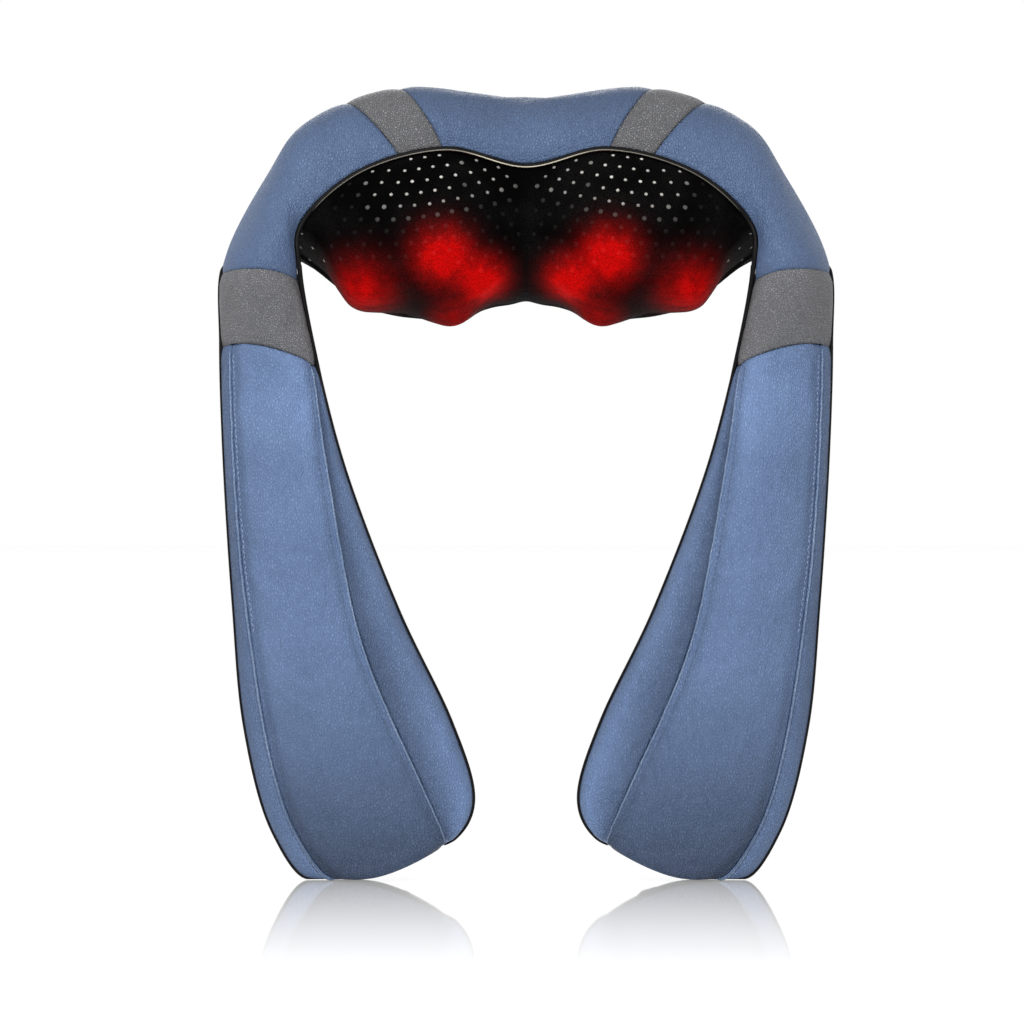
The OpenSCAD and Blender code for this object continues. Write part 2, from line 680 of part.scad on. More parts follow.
module led_board(side) {
    leds = 8;
    color(board_green) head_frame() translate([side * head_pitch / 2, 0, frame_z]) {
        tube(board_t, 58, hub_d + 2);
        for (i = [0:leds - 1]) rotate([0, 0, i * 360 / leds + 22.5]) translate([21, 0, board_t]) {
            cylinder(h = led_h - 2.5, d = 5);
            translate([0, 0, led_h - 2.5]) intersection() {
                sphere(d = 5);
                cylinder(h = 5, d = 6);
            }
        }
    }
}

// Battery of two cells side by side, in a sleeve, on the casing's back wall
battery_h = 19;
battery_side = 38;
battery_y = casing_top - wall - 1 - battery_side / 2;
module battery_pack() {
    color(glow_red) head_frame() translate([-battery_l / 2, battery_y, casing_back + wall + battery_h / 2])
        rotate([0, 90, 0]) {
            for (s = [-1, 1]) translate([0, s * battery_side / 4, 0]) cylinder(h = battery_l, d = battery_h);
            translate([-battery_h / 2, -battery_side / 4, 0]) cube([battery_h, battery_side / 2, battery_l]);
        }
}

// Control board under the front frame's posts
board_z = casing_back + wall + battery_h + 3;
board_w = 60;
board_side = 30;
board_y = casing_top - wall - 2 - board_side / 2;
board_posts_x = [-board_w / 2 + 4, board_w / 2 - 4];
board_posts_y = [board_y - board_side / 2 + 4, board_y + board_side / 2 - 4];
module control_board() {
    color(board_green) head_frame() translate([0, board_y, board_z]) {
        translate([-board_w / 2, -board_side / 2, 0]) cube([board_w, board_side, board_t]);
        translate([-6, -6, board_t - 0.1]) cube([12, 12, 1.8]);
        translate([14, -4, board_t - 0.1]) cylinder(h = 8, d = 8);
        translate([-18, -5, board_t - 0.1]) cube([8, 10, 5]);
    }
}

module wiring_harness() {
    top = board_z + board_t / 2;
    end = -battery_l / 2;
    color(glow_red) head_frame() {
        cord([[-board_w / 2 - 0.3, board_y, top], [-board_w / 2 - 4, board_y, top],
            [end - 2, board_y - 4, top - 6],
            [end - 2.5, board_y - 4, casing_back + wall + battery_h / 2 + 6], [end - 1.2, battery_y + 4,
            casing_back + wall + battery_h / 2]], 1.6, 8);
    }
}

// ---------- control pod on the back of the yoke ----------
pod_t = 0.70;
pod_seat = skin(1, 0, pod_t);
pod_normal = -inward(1, 0, pod_t);
pod_tilt = atan2(-pod_normal.y, pod_normal.z);
pod_proud = 3;
pod_wall = 2;
module pod_frame() {
    translate(pod_seat) rotate([pod_tilt, 0, 0]) children();
}

module pod_opening() {
    translate([0, 0, -pod_depth]) linear_extrude(2 * pod_depth)
        rounded(pod_w + 2 * seam_gap, pod_h + 2 * seam_gap, 6 + seam_gap);
}

module pod_cavity() {
    translate([0, 0, pod_proud - pod_depth - fit_gap]) linear_extrude(3 * pod_depth)
        rounded(pod_w + 2 * fit_gap, pod_h + 2 * fit_gap, 6 + fit_gap);
}

button_step = 18;
button_x = [-27, -9, 9, 27];
flange_t = 1.2;
face_t = 2.4;
face_back = pod_proud - face_t;
socket_x = 41;
lens_x = -40;
socket_w = 8.94;
socket_h = 3.26;

module slot(w, h, l) {
    linear_extrude(l) {
        square([w - h, h], center = true);
        for (s = [-1, 1]) translate([s * (w - h) / 2, 0]) circle(d = h);
    }
}

module control_bezel() {
    color(moulding) pod_frame() difference() {
        translate([0, 0, pod_proud - pod_depth]) linear_extrude(pod_depth) rounded(pod_w, pod_h, 6);
        translate([0, 0, pod_proud - pod_depth - 1]) linear_extrude(pod_depth - face_t + 1)
            rounded(pod_w - 2 * pod_wall, pod_h - 2 * pod_wall, 4);
        for (x = button_x) translate([x, 0, -pod_depth])
            cylinder(h = 2 * pod_depth, d = button_d + 2 * fit_gap);
        translate([lens_x, 0, -pod_depth]) cylinder(h = 2 * pod_depth, d = 4);
        translate([socket_x, 0, -pod_depth])
            slot(socket_w + 1.2 + 2 * fit_gap, socket_h + 1.2 + 2 * fit_gap, 2 * pod_depth);
    }
}

keypad_z = pod_proud - pod_depth + 2;
module keypad_board() {
    switch_top = face_back - flange_t - button_travel - 0.3;
    color(board_green) pod_frame() {
        translate([0, 0, keypad_z]) linear_extrude(board_t)
            rounded(pod_w - 2 * pod_wall - 0.4, pod_h - 2 * pod_wall - 0.4, 3.8);
        for (x = button_x) translate([x - 3, -3, keypad_z + board_t - 0.1])
            cube([6, 6, switch_top - 1 - keypad_z - board_t]);
        for (x = button_x) translate([x, 0, keypad_z + board_t])
            cylinder(h = switch_top - keypad_z - board_t, d = 3.4);
    }
}

module charge_socket() {
    shell = 0.6;
    depth = pod_proud - 0.4 - keypad_z - board_t;
    color(steel) pod_frame() translate([socket_x, 0, keypad_z + board_t]) difference() {
        slot(socket_w + 2 * shell, socket_h + 2 * shell, depth);
        translate([0, 0, 1]) slot(socket_w, socket_h, depth);
    }
    color(black) pod_frame() translate([socket_x - 3.3, -0.35, keypad_z + board_t + 0.9])
        cube([6.6, 0.7, depth - 2]);
}

module status_lens() {
    color(nylon) pod_frame() translate([lens_x, 0, keypad_z + board_t]) {
        cylinder(h = pod_proud - keypad_z - board_t, d = 4);
    }
}

module button(i) {
    color(gray) pod_frame() translate([button_x[i], 0, 0]) {
        difference() {
            translate([0, 0, face_back - flange_t]) cylinder(h = face_t + flange_t + 1.2, d = button_d);
            translate([0, 0, pod_proud + 17.2]) sphere(r = 16.6);
        }
        translate([0, 0, face_back - flange_t]) cylinder(h = flange_t, d = button_d + 2);
    }
}

// ---------- zip slider, in a frame whose Z points out of the seam ----------
slider_l = 12;
slider_w = 6;
slider_t = 2.4;
slider_gap = 1.8;
slider_x = 58;
pull_l = 13;
ear_t = 1.2;
zip_corner = skin(1, 0, 1);
zip_out = -edge_inward(1, 0, 1);
zip_sink = (zip_corner - (zip_side(1, 0) + zip_side(0, 0)) / 2) * zip_out;
pin_rise = slider_t + 1.8;
module zip_frame() {
    translate([slider_x, 0, 0]) translate(zip_corner) rotate([atan2(-zip_out.y, zip_out.z), 0, 0])
        translate([0, 0, slider_gap - zip_sink]) children();
}

module zip_slider() {
    color(steel) zip_frame() difference() {
        union() {
            translate([-slider_l / 2, -slider_w / 2, 0]) cube([slider_l, slider_w, slider_t]);
            translate([-2, -1.5, slider_t - 0.1]) cube([4, 3, 3.4]);
        }
        translate([0, -2, pin_rise]) rotate([-90, 0, 0]) cylinder(h = 4, d = 1.4);
    }
}

module zip_pull() {
    color(steel) zip_frame() translate([0, 0, pin_rise]) {
        translate([0, -1.8 - ear_t, 0]) rotate([-90, 0, 0]) cylinder(h = 2 * (1.8 + ear_t), d = 1);
        for (s = [-1, 1]) translate([-1, s * (1.8 + ear_t / 2) - ear_t / 2, -1]) cube([2, ear_t, 5]);
        translate([-0.8, -1.8 - ear_t, 3]) cube([1.6, 2 * (1.8 + ear_t), pull_l - 3]);
    }
}

module right(side) {
    if (side > 0) children();
    else mirror([1, 0, 0]) children();
}

center_panel();
right(-1) yoke_band();  // left_yoke_band
right(1) yoke_band();  // right_yoke_band
right(-1) shoulder_panel();  // left_shoulder_panel
right(1) shoulder_panel();  // right_shoulder_panel
massage_cover();
cover_piping();
zip_tape();
zip_slider();
zip_pull();
yoke_foam();
right(-1) arm_band();  // left_arm_band
right(1) arm_band();  // right_arm_band
right(-1) arm_front();  // left_arm_front
right(1) arm_front();  // right_arm_front
right(-1) inner_gusset();  // left_inner_gusset
right(1) inner_gusset();  // right_inner_gusset
right(-1) outer_gusset();  // left_outer_gusset
right(1) outer_gusset();  // right_outer_gusset
right(-1) arm_lining();  // left_arm_lining
right(1) arm_lining();  // right_arm_lining
right(-1) edge_piping(0, piping_proud);  // left_inner_piping
right(1) edge_piping(0, piping_proud);  // right_inner_piping
right(-1) edge_piping(1, 0.2);  // left_outer_piping
right(1) edge_piping(1, 0.2);  // right_outer_piping
right(-1) arm_foam();  // left_arm_foam
right(1) arm_foam();  // right_arm_foam
front_frame();
rear_casing();
casing_screws();
shaft_bushes();
worm_bushes();
motor_can();
motor_cap();
battery_pack();
control_board();
led_board(-1);  // left_led_board
led_board(1);  // right_led_board
wiring_harness();
drive_shaft();
output_shaft(-1);  // left_output_shaft
output_shaft(1);  // right_output_shaft
worm_wheel(-1);  // left_worm_wheel
worm_wheel(1);  // right_worm_wheel
head_carrier(-1);  // left_head_carrier
head_carrier(1);  // right_head_carrier
node_pair(-1, 0, long_arm, large_node_d, node_h);  // left_large_nodes
node_pair(1, 0, long_arm, large_node_d, node_h);  // right_large_nodes
node_pair(-1, 90, short_arm, small_node_d, node_h - 3);  // left_small_nodes
node_pair(1, 90, short_arm, small_node_d, node_h - 3);  // right_small_nodes
control_bezel();
keypad_board();
charge_socket();
status_lens();
button(0);  // power_button
button(1);  // heat_button
button(2);  // direction_button
button(3);  // speed_button
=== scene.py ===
import bpy
import math
import random
import numpy as np
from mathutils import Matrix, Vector
from mathutils.bvhtree import BVHTree


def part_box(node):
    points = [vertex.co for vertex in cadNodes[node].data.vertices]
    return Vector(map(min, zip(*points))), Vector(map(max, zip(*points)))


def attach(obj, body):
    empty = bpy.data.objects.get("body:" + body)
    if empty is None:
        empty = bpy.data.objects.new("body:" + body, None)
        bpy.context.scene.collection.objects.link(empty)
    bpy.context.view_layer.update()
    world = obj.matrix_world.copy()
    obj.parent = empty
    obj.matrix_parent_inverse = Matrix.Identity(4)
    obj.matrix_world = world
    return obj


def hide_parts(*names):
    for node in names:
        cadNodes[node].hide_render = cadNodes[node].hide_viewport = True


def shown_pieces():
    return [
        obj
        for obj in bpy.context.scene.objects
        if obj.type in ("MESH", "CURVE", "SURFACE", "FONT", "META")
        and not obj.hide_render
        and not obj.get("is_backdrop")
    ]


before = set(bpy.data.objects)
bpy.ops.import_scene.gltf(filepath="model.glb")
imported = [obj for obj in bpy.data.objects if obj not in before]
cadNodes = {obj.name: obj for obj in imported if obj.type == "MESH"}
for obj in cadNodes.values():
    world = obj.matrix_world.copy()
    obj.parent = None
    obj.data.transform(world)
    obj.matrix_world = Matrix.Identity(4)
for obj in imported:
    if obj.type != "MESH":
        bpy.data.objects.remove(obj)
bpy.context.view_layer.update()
random.seed(7)
print("frame loaded:", len(cadNodes), "nodes")

# The camera, and the places read off the photograph in its own pixels
photoW = 1024
photoH = 1024
longSide = max(photoW, photoH)
photoPoints = {
    "leftSide": (219, None), "rightSide": (833, None), "top": (None, 86), "bottom": (None, 879),
    "pipingMiddle": (526, 163), "leftBandSeam": (440, 148), "leftShoulderSeam": (396, 152),
    "leftArmBandCorner": (312, 362), "rightArmBandCorner": (740, 362),
    "leftInnerSeam": (355, 625), "rightInnerSeam": (697, 625), "leftOuterSeam": (246, 640),
    "leftHemNotch": (447, 843), "coverLowPoint": (451, 323), "endStud": (301, 247),
    "glowUpper": (443, 256), "glowInner": (483, 282), "glowOuter": (363, 290), "glowLower": (453, 314),
}
cameraPlan = {"distance": 3.0, "aimX": -0.0091, "aimZ": 0.2386, "lens": 162.3, "sensor": 36, "farthest": 80,
              "shiftX": 0.0, "shiftY": 0.0}

cameraData = bpy.data.cameras.new("camera")
cameraData.lens = cameraPlan["lens"]
cameraData.sensor_width = cameraPlan["sensor"]
cameraData.sensor_fit = "AUTO"
cameraData.shift_x = cameraPlan["shiftX"]
cameraData.shift_y = cameraPlan["shiftY"]
cameraData.clip_end = cameraPlan["farthest"]
camera = bpy.data.objects.new("camera", cameraData)
camera.location = (cameraPlan["aimX"], -cameraPlan["distance"], cameraPlan["aimZ"])
camera.rotation_euler = (math.radians(90), 0, 0)
bpy.context.scene.collection.objects.link(camera)
bpy.context.scene.camera = camera
bpy.context.scene.view_settings.view_transform = "Standard"
bpy.context.view_layer.update()


# A point of the photograph, carried along its ray to the surface that it lies on
def placeByRay(point, tree):
    ray = Vector((point[0] - photoW / 2 + cameraData.shift_x * longSide,
                  photoH / 2 - point[1] + cameraData.shift_y * longSide,
                  -longSide * cameraData.lens / cameraData.sensor_width))
    start = camera.matrix_world.translation
    direction = (camera.matrix_world.to_3x3() @ ray).normalized()
    place = tree.ray_cast(start, direction)[0]
    if place is None:
        place = tree.find_nearest(start + direction * cameraPlan["distance"])[0]
    return place


# Where points of the object show in the picture, in its pixels
def shownAt(points):
    toCamera = np.array(camera.matrix_world.inverted())
    seen = np.asarray(points, float).reshape(-1, 3) @ toCamera[:3, :3].T + toCamera[:3, 3]
    zoom = longSide * cameraData.lens / cameraData.sensor_width
    x = photoW / 2 - cameraData.shift_x * longSide - zoom * seen[:, 0] / seen[:, 2]
    y = photoH / 2 + cameraData.shift_y * longSide + zoom * seen[:, 1] / seen[:, 2]
    return np.stack([x, y], 1)


# The strap's form in millimetres, as the part's source draws it. Along an arm, u runs from 0 at the nape
# to 10 at the hem. Across it, t runs from 0 at the inner edge to 1 at the outer one.
strapForm = {
    "armHeight": 390, "depthShift": 7, "armEase": 0.1, "floorEase": 0.0022,
    "seamGap": 0.3, "pipingSeat": 2.3, "zipSeat": 4.5, "coverEnd": 3.94,
    "centreSeam": 1, "bandSeam": 1.5, "bandStart": 4, "armBandSeam": 4.17, "armStart": 5, "hem": 10,
    "yokeRibs": [
        [[0, -58, 69.5], [0, -67, 181], [0, 112, 69], [0, 60, -8], [0, -46, -33], [0, -100, 11]],
        [[52, -62, 80], [104, -76, 180], [88, 113, 81], [76, 60, -8], [46, -58, -61], [57, -134, 8]],
        [[105.5, -62, 66], [180, -68, 143], [128, 106, 69], [114, 52, 2], [106, -40, -46], [110, -120, 8]],
        [[142, -60, 35], [158, -90, 92], [194, 39.5, 47.5], [172, 26, 20], [150, -14, 28], [142, -60, 20]],
        [[145.5, -62, 5], [159, -96, 17], [194, -74, 13], [196, -24, 8], [184, -2, 4], [150, -30, 6]],
    ],
    "armRibs": [
        ([134.5, -40, 0.862], [198, -26, 0.888], 22, 18),
        ([115, -32, 0.672], [195.5, -27, 0.688], 23, 20),
        ([82, -25, 0.449], [190, -24, 0.459], 24, 22),
        ([48, -17, 0.264], [183, -18, 0.255], 24, 23),
        ([33.5, -12, 0.133], [165, -12, 0.079], 23, 22),
    ],
    "hemRibs": [
        [[51, -10, 0.059], [62, -40, 0.038], [112, -40, -0.022], [132, -10, -0.016], [112, 20, -0.022],
         [62, 20, 0.038]],
        [[92, -10, 0.03], [90, -40, 0.02], [84, -40, 0.02], [74, -10, 0.05], [84, 20, 0.02], [90, 20, 0.02]],
    ],
    "innerSeam": [(5, 0.075), (5.55, 0.145), (6.05, 0.208), (6.5, 0.272), (6.95, 0.318), (7.3, 0.334),
                  (7.6, 0.337), (7.93, 0.328), (8.2, 0.314), (8.5, 0.298), (8.8, 0.281), (9.15, 0.248),
                  (9.5, 0.19), (9.78, 0.119), (10, 0.06)],
    "outerSeam": [(5, 0.825), (6, 0.848), (6.7, 0.858), (7.2, 0.845), (7.7, 0.833), (8.3, 0.832),
                  (8.8, 0.826), (9.3, 0.818), (9.7, 0.822), (10, 0.84)],
    "armBandBend": [(0, 0.058), (0.03, 0.053), (0.085, 0.036), (0.195, 0.008), (0.31, -0.013),
                    (0.395, -0.029), (0.48, -0.04), (0.56, -0.044), (0.655, -0.041), (0.79, -0.024),
                    (0.975, 0.024), (1, 0.03)],
}
skinStep = 0.02  # how far either side of a place its slope is taken


def ribPlaces():
    high, shift = strapForm["armHeight"], strapForm["depthShift"]
    table = [[(x, y + shift, high + z) for x, y, z in rib] for rib in strapForm["yokeRibs"]]
    for inner, outer, front, back in strapForm["armRibs"]:
        a = np.array([inner[0], inner[1] + shift, high * inner[2]])
        c = np.array([outer[0], outer[1] + shift, high * outer[2]])
        ease = (c - a) * strapForm["armEase"]
        depth = np.array([0, 4 / 3, 0])  # a cubic curve reaches three quarters of the way to its handles
        table.append([a, a - depth * front + ease, c - depth * front - ease,
                      c, c + depth * back - ease, a + depth * back + ease])
    table += [[(x, y + shift, high * z) for x, y, z in rib] for rib in strapForm["hemRibs"]]
    return np.array(table, float) / 1000


ribs = ribPlaces()
mirrored = np.array([-1.0, 1.0, 1.0])


def ribAt(u):
    i = np.clip(np.floor(u).astype(int), 0, len(ribs) - 3)
    s = (u - i)[:, None, None]
    a = np.where((i == 0)[:, None, None], ribs[1] * mirrored, ribs[np.maximum(i - 1, 0)])
    b, c, d = ribs[i], ribs[i + 1], ribs[i + 2]
    curve = 2 * b + (c - a) * s + (2 * a - 5 * b + 4 * c - d) * s ** 2 + (3 * b - a - 3 * c + d) * s ** 3
    return 0.5 * curve


# A place on the strap's leather or on its lining
def skinAt(side, u, t):
    u, t = np.broadcast_arrays(np.atleast_1d(np.asarray(u, float)), np.atleast_1d(np.asarray(t, float)))
    rib = ribAt(np.abs(u))
    order = (0, 1, 2, 3) if side == "leather" else (0, 5, 4, 3)
    s = t[:, None]
    place = ((1 - s) ** 3 * rib[:, order[0]] + 3 * (1 - s) ** 2 * s * rib[:, order[1]]
             + 3 * (1 - s) * s ** 2 * rib[:, order[2]] + s ** 3 * rib[:, order[3]])
    return place * np.where(u < 0, -1, 1)[:, None] ** np.array([1, 0, 0])


def ribMiddle(u):
    faces = skinAt("leather", u, 0.5) + skinAt("lining", u, 0.5)
    return (faces + skinAt("leather", u, 0) + skinAt("leather", u, 1)) / 4


def toUnit(v):
    return v / np.maximum(np.linalg.norm(v, axis=-1, keepdims=True), 1e-12)


def outwardAt(side, u, t):
    low, high = np.clip(t - skinStep, 0.001, 0.999), np.clip(t + skinStep, 0.001, 0.999)
    across = skinAt(side, u, high) - skinAt(side, u, low)
    along = skinAt(side, u + skinStep, t) - skinAt(side, u - skinStep, t)
    n = toUnit(np.cross(along, across))
    inside = np.sum(n * (ribMiddle(u) - skinAt(side, u, t)), 1)
    return n * np.where(inside > 0, -1, 1)[:, None]


def knotValue(knots, x):
    return np.interp(x, *np.transpose(knots))


# A seam's place across the arm, its knots rounded off
def seamAt(knots, u):
    return sum(knotValue(knots, np.abs(u) + 0.05 * k) for k in (-2, -1, 0, 1, 2)) / 5


# Where the strap rests on the floor, its lowest line is eased up instead of being cut flat
def restOnFloor(z):
    return 0.5 * (z + np.sqrt(z * z + 4 * strapForm["floorEase"] ** 2))


# How much of t or of u a gap in millimetres takes
def speedAcross(side, u, t):
    reach = skinAt(side, u, t + skinStep) - skinAt(side, u, t - skinStep)
    return np.linalg.norm(reach, axis=1) / (2 * skinStep)


def acrossIn(side, u, t, gap):
    return gap / 1000 / speedAcross(side, u, t)


def alongIn(u, gap):
    reach = skinAt("leather", u + skinStep, 0.5) - skinAt("leather", u - skinStep, 0.5)
    return gap / 1000 / (np.linalg.norm(reach, axis=1)[0] / (2 * skinStep))


def innerSeam(u):
    return seamAt(strapForm["innerSeam"], u)


def outerSeam(u):
    return seamAt(strapForm["outerSeam"], u)


print("strap form drawn")


# Shorthands for node trees: a value that is itself a socket is linked, any other is set
def setInput(tree, socket, value):
    if isinstance(value, bpy.types.NodeSocket):
        tree.links.new(value, socket)
    else:
        socket.default_value = value


def addNode(tree, kind, settings=None, values=None):
    node = tree.nodes.new(kind)
    for key, value in (settings or {}).items():
        setattr(node, key, value)
    for key, value in (values or {}).items():
        setInput(tree, node.inputs[key], value)
    return node


def joinMath(tree, operation, *sources, clamp=False):
    settings = {"operation": operation, "use_clamp": clamp}
    return addNode(tree, "ShaderNodeMath", settings, dict(enumerate(sources))).outputs[0]


def joinVectors(tree, operation, *sources):
    node = addNode(tree, "ShaderNodeVectorMath", {"operation": operation}, dict(enumerate(sources)))
    return node.outputs["Value" if operation == "LENGTH" else "Vector"]


def makeVector(tree, x, y, z):
    return addNode(tree, "ShaderNodeCombineXYZ", None, {"X": x, "Y": y, "Z": z}).outputs[0]


def splitVector(tree, vector):
    return addNode(tree, "ShaderNodeSeparateXYZ", None, {"Vector": vector}).outputs


def addNoise(tree, place, scale, detail, roughness=0.5, distortion=0.0):
    values = {"Vector": place, "Scale": scale, "Detail": detail, "Roughness": roughness,
              "Distortion": distortion}
    return addNode(tree, "ShaderNodeTexNoise", None, values).outputs


def remap(tree, source, low, high, toLow=0.0, toHigh=1.0, smooth=True):
    values = {"Value": source, "From Min": low, "From Max": high, "To Min": toLow, "To Max": toHigh}
    settings = {"interpolation_type": "SMOOTHSTEP" if smooth else "LINEAR"}
    return addNode(tree, "ShaderNodeMapRange", settings, values).outputs["Result"]


def readPlace(tree):
    return tree.nodes.new("ShaderNodeTexCoord").outputs


def readAttribute(tree, name):
    return addNode(tree, "ShaderNodeAttribute", {"attribute_name": name}).outputs["Fac"]


def blendColours(tree, factor, *colours):
    mix = addNode(tree, "ShaderNodeMix", {"data_type": "RGBA"}, {"Factor": factor})
    for socket, colour in zip(mix.inputs[6:8], colours):  # A and B, in their colour form
        setInput(tree, socket, (*colour, 1) if isinstance(colour, tuple) else colour)
    return mix.outputs[2]


def bumpFrom(tree, height, distance, strength=1.0, below=None):
    values = {"Height": height, "Distance": distance, "Strength": strength}
    if below is not None:
        values["Normal"] = below
    return addNode(tree, "ShaderNodeBump", None, values).outputs["Normal"]


# Effects that materials share, as node groups. An input that is None is a place.
def newGroup(name, inputs, outputs):
    tree = bpy.data.node_groups.new(name, "ShaderNodeTree")
    for label, value in inputs.items():
        kind = "NodeSocketVector" if value is None else "NodeSocketFloat"
        socket = tree.interface.new_socket(name=label, in_out="INPUT", socket_type=kind)
        if value is not None:
            socket.default_value = value
    for label in outputs:
        tree.interface.new_socket(name=label, in_out="OUTPUT", socket_type="NodeSocketFloat")
    return tree, tree.nodes.new("NodeGroupInput").outputs, tree.nodes.new("NodeGroupOutput").inputs


def sendOut(tree, end, results):
    for label, source in results.items():
        tree.links.new(source, end[label])
    return tree


def useGroup(tree, group, values):
    return addNode(tree, "ShaderNodeGroup", {"node_tree": group}, values).outputs


# Pebbled artificial leather: rounded cells between thin creases, and soft patches
def makeLeatherGrain():
    inputs = {"Vector": None, "Cell Scale": 620.0, "Stretch": 0.5}
    tree, start, end = newGroup("leatherGrain", inputs, ("Height", "Crease", "Patch"))
    warp = addNoise(tree, start["Vector"], 210.0, 2.0)["Color"]
    shifted = joinVectors(tree, "MULTIPLY_ADD", warp, (0.0022, 0.0022, 0.0022), start["Vector"])
    squeezed = joinVectors(tree, "MULTIPLY", shifted, makeVector(tree, 1.0, 1.0, start["Stretch"]))
    cells = addNode(tree, "ShaderNodeTexVoronoi", {"feature": "DISTANCE_TO_EDGE"},
                    {"Vector": squeezed, "Scale": start["Cell Scale"], "Randomness": 0.95})
    dome = remap(tree, cells.outputs["Distance"], 0.0, 0.28)
    fine = addNoise(tree, squeezed, 2600.0, 2.0, 0.6)["Fac"]
    wide = addNoise(tree, start["Vector"], 26.0, 3.0, 0.55)["Fac"]
    return sendOut(tree, end, {"Height": joinMath(tree, "MULTIPLY_ADD", fine, 0.25, dome),
                               "Crease": joinMath(tree, "SUBTRACT", 1.0, dome),
                               "Patch": remap(tree, wide, 0.32, 0.68)})


# Long shallow wrinkles that run down a stretched panel, from its own UV map in metres
def makeWrinkles():
    tree, start, end = newGroup("longWrinkles", {"UV": None, "Along": 9.0, "Across": 120.0}, ("Height",))
    scales = makeVector(tree, start["Along"], start["Across"], 0.0)
    spread = joinVectors(tree, "MULTIPLY", start["UV"], scales)
    folds = addNoise(tree, spread, 1.0, 3.0, 0.6, 0.6)["Fac"]
    ridge = joinMath(tree, "ABSOLUTE", joinMath(tree, "SUBTRACT", folds, 0.5))
    return sendOut(tree, end, {"Height": remap(tree, ridge, 0.0, 0.11)})


# Painted glow: the red light of the massage heads, painted onto the cover as emission, the same on both
# sides, strongest where each node presses on the cover
def makeLampGlow(lamps):
    tree, start, end = newGroup("lampGlow", {"Vector": None}, ("Glow",))
    split = splitVector(tree, start["Vector"])
    folded = makeVector(tree, joinMath(tree, "ABSOLUTE", split["X"]), split["Y"], split["Z"])
    haze = addNoise(tree, folded, 90.0, 4.0, 0.65)["Fac"]
    total = None
    for centre, spread, strength in lamps:
        apart = joinVectors(tree, "SUBTRACT", folded, (abs(centre[0]), centre[1], centre[2]))
        reach = joinVectors(tree, "LENGTH", joinVectors(tree, "MULTIPLY", apart, (1.0, 0.4, 1.0)))
        square = joinMath(tree, "POWER", joinMath(tree, "DIVIDE", reach, spread), 2.0)
        fall = joinMath(tree, "EXPONENT", joinMath(tree, "MULTIPLY", square, -1.0))
        lamp = joinMath(tree, "MULTIPLY", fall, strength)
        total = lamp if total is None else joinMath(tree, "ADD", total, lamp)
    uneven = remap(tree, haze, 0.3, 0.62, 0.62, 1.1)
    glow = joinMath(tree, "MINIMUM", joinMath(tree, "MULTIPLY", total, uneven), 1.0)
    return sendOut(tree, end, {"Glow": glow})


# Fine texture and soft patches of moulded or cast parts
def makeMouldGrain():
    tree, start, end = newGroup("mouldGrain", {"Vector": None, "Scale": 1500.0}, ("Height", "Patch"))
    patch = addNoise(tree, start["Vector"], 45.0, 4.0, 0.6)["Fac"]
    return sendOut(tree, end, {"Height": addNoise(tree, start["Vector"], start["Scale"], 3.0, 0.6)["Fac"],
                               "Patch": remap(tree, patch, 0.3, 0.7)})


# Over-and-under threads, from a UV map in metres
def makeWeave():
    tree, start, end = newGroup("weave", {"Vector": None, "Thread Scale": 900.0}, ("Height", "Gap"))
    split = splitVector(tree, start["Vector"])
    turns = [joinMath(tree, "MULTIPLY", split[axis], start["Thread Scale"]) for axis in ("X", "Y")]
    waves = [joinMath(tree, "SINE", joinMath(tree, "MULTIPLY", turn, math.pi)) for turn in turns]
    crests = [joinMath(tree, "ABSOLUTE", wave) for wave in waves]
    height = joinMath(tree, "MULTIPLY_ADD", joinMath(tree, "MULTIPLY", *waves), 0.5, 0.5)
    gap = joinMath(tree, "SUBTRACT", 1.0, joinMath(tree, "MAXIMUM", *crests))
    return sendOut(tree, end, {"Height": height, "Gap": gap})


leatherGrain = makeLeatherGrain()
longWrinkles = makeWrinkles()
mouldGrain = makeMouldGrain()
weave = makeWeave()


def newMaterial(name, values):
    material = bpy.data.materials.new(name)
    material.use_nodes = True
    tree = material.node_tree
    tree.nodes.clear()
    shader = addNode(tree, "ShaderNodeBsdfPrincipled", None, values)
    output = addNode(tree, "ShaderNodeOutputMaterial", None, {"Surface": shader.outputs[0]})
    return material, tree, shader.inputs, output.inputs


# Each sheet carries an attribute that scales its colour: it sets the sheet's tone and holds painted shade and
# painted highlight, since light and shade aren't even over the strap
def withPaintedShading(tree, colour):
    values = {0: colour, "Scale": readAttribute(tree, "paintedShading")}
    return addNode(tree, "ShaderNodeVectorMath", {"operation": "SCALE"}, values).outputs[0]


# What blue, gray and black leather share: the colour with its creases, the grain and the wrinkles
def leatherLook(tree, plan, foldStrength):
    place = readPlace(tree)
    grain = useGroup(tree, leatherGrain, {"Vector": place["Object"], "Cell Scale": plan["cells"],
                                          "Stretch": plan["stretch"]})
    folds = useGroup(tree, longWrinkles, {"UV": place["UV"], "Along": plan["along"],
                                          "Across": plan["across"]})
    tone = blendColours(tree, grain["Patch"], plan["dark"], plan["light"])
    crease = joinMath(tree, "MULTIPLY", grain["Crease"], plan["creaseTint"])
    wrinkled = bumpFrom(tree, folds["Height"], plan["foldDepth"], foldStrength)
    normal = bumpFrom(tree, grain["Height"], plan["grainDepth"], 1.0, wrinkled)
    return place, grain, blendColours(tree, crease, tone, plan["crease"]), normal


def leatherMaterial(name, plan):
    values = {"IOR": 1.48, "Specular IOR Level": plan["shine"]}
    material, tree, shader, output = newMaterial(name, values)
    place, grain, colour, normal = leatherLook(tree, plan, 0.8)
    rough = plan["roughness"]
    setInput(tree, shader["Base Color"], withPaintedShading(tree, colour))
    setInput(tree, shader["Roughness"], remap(tree, grain["Patch"], 0, 1, rough - 0.04, rough + 0.06))
    setInput(tree, shader["Normal"], normal)
    return material


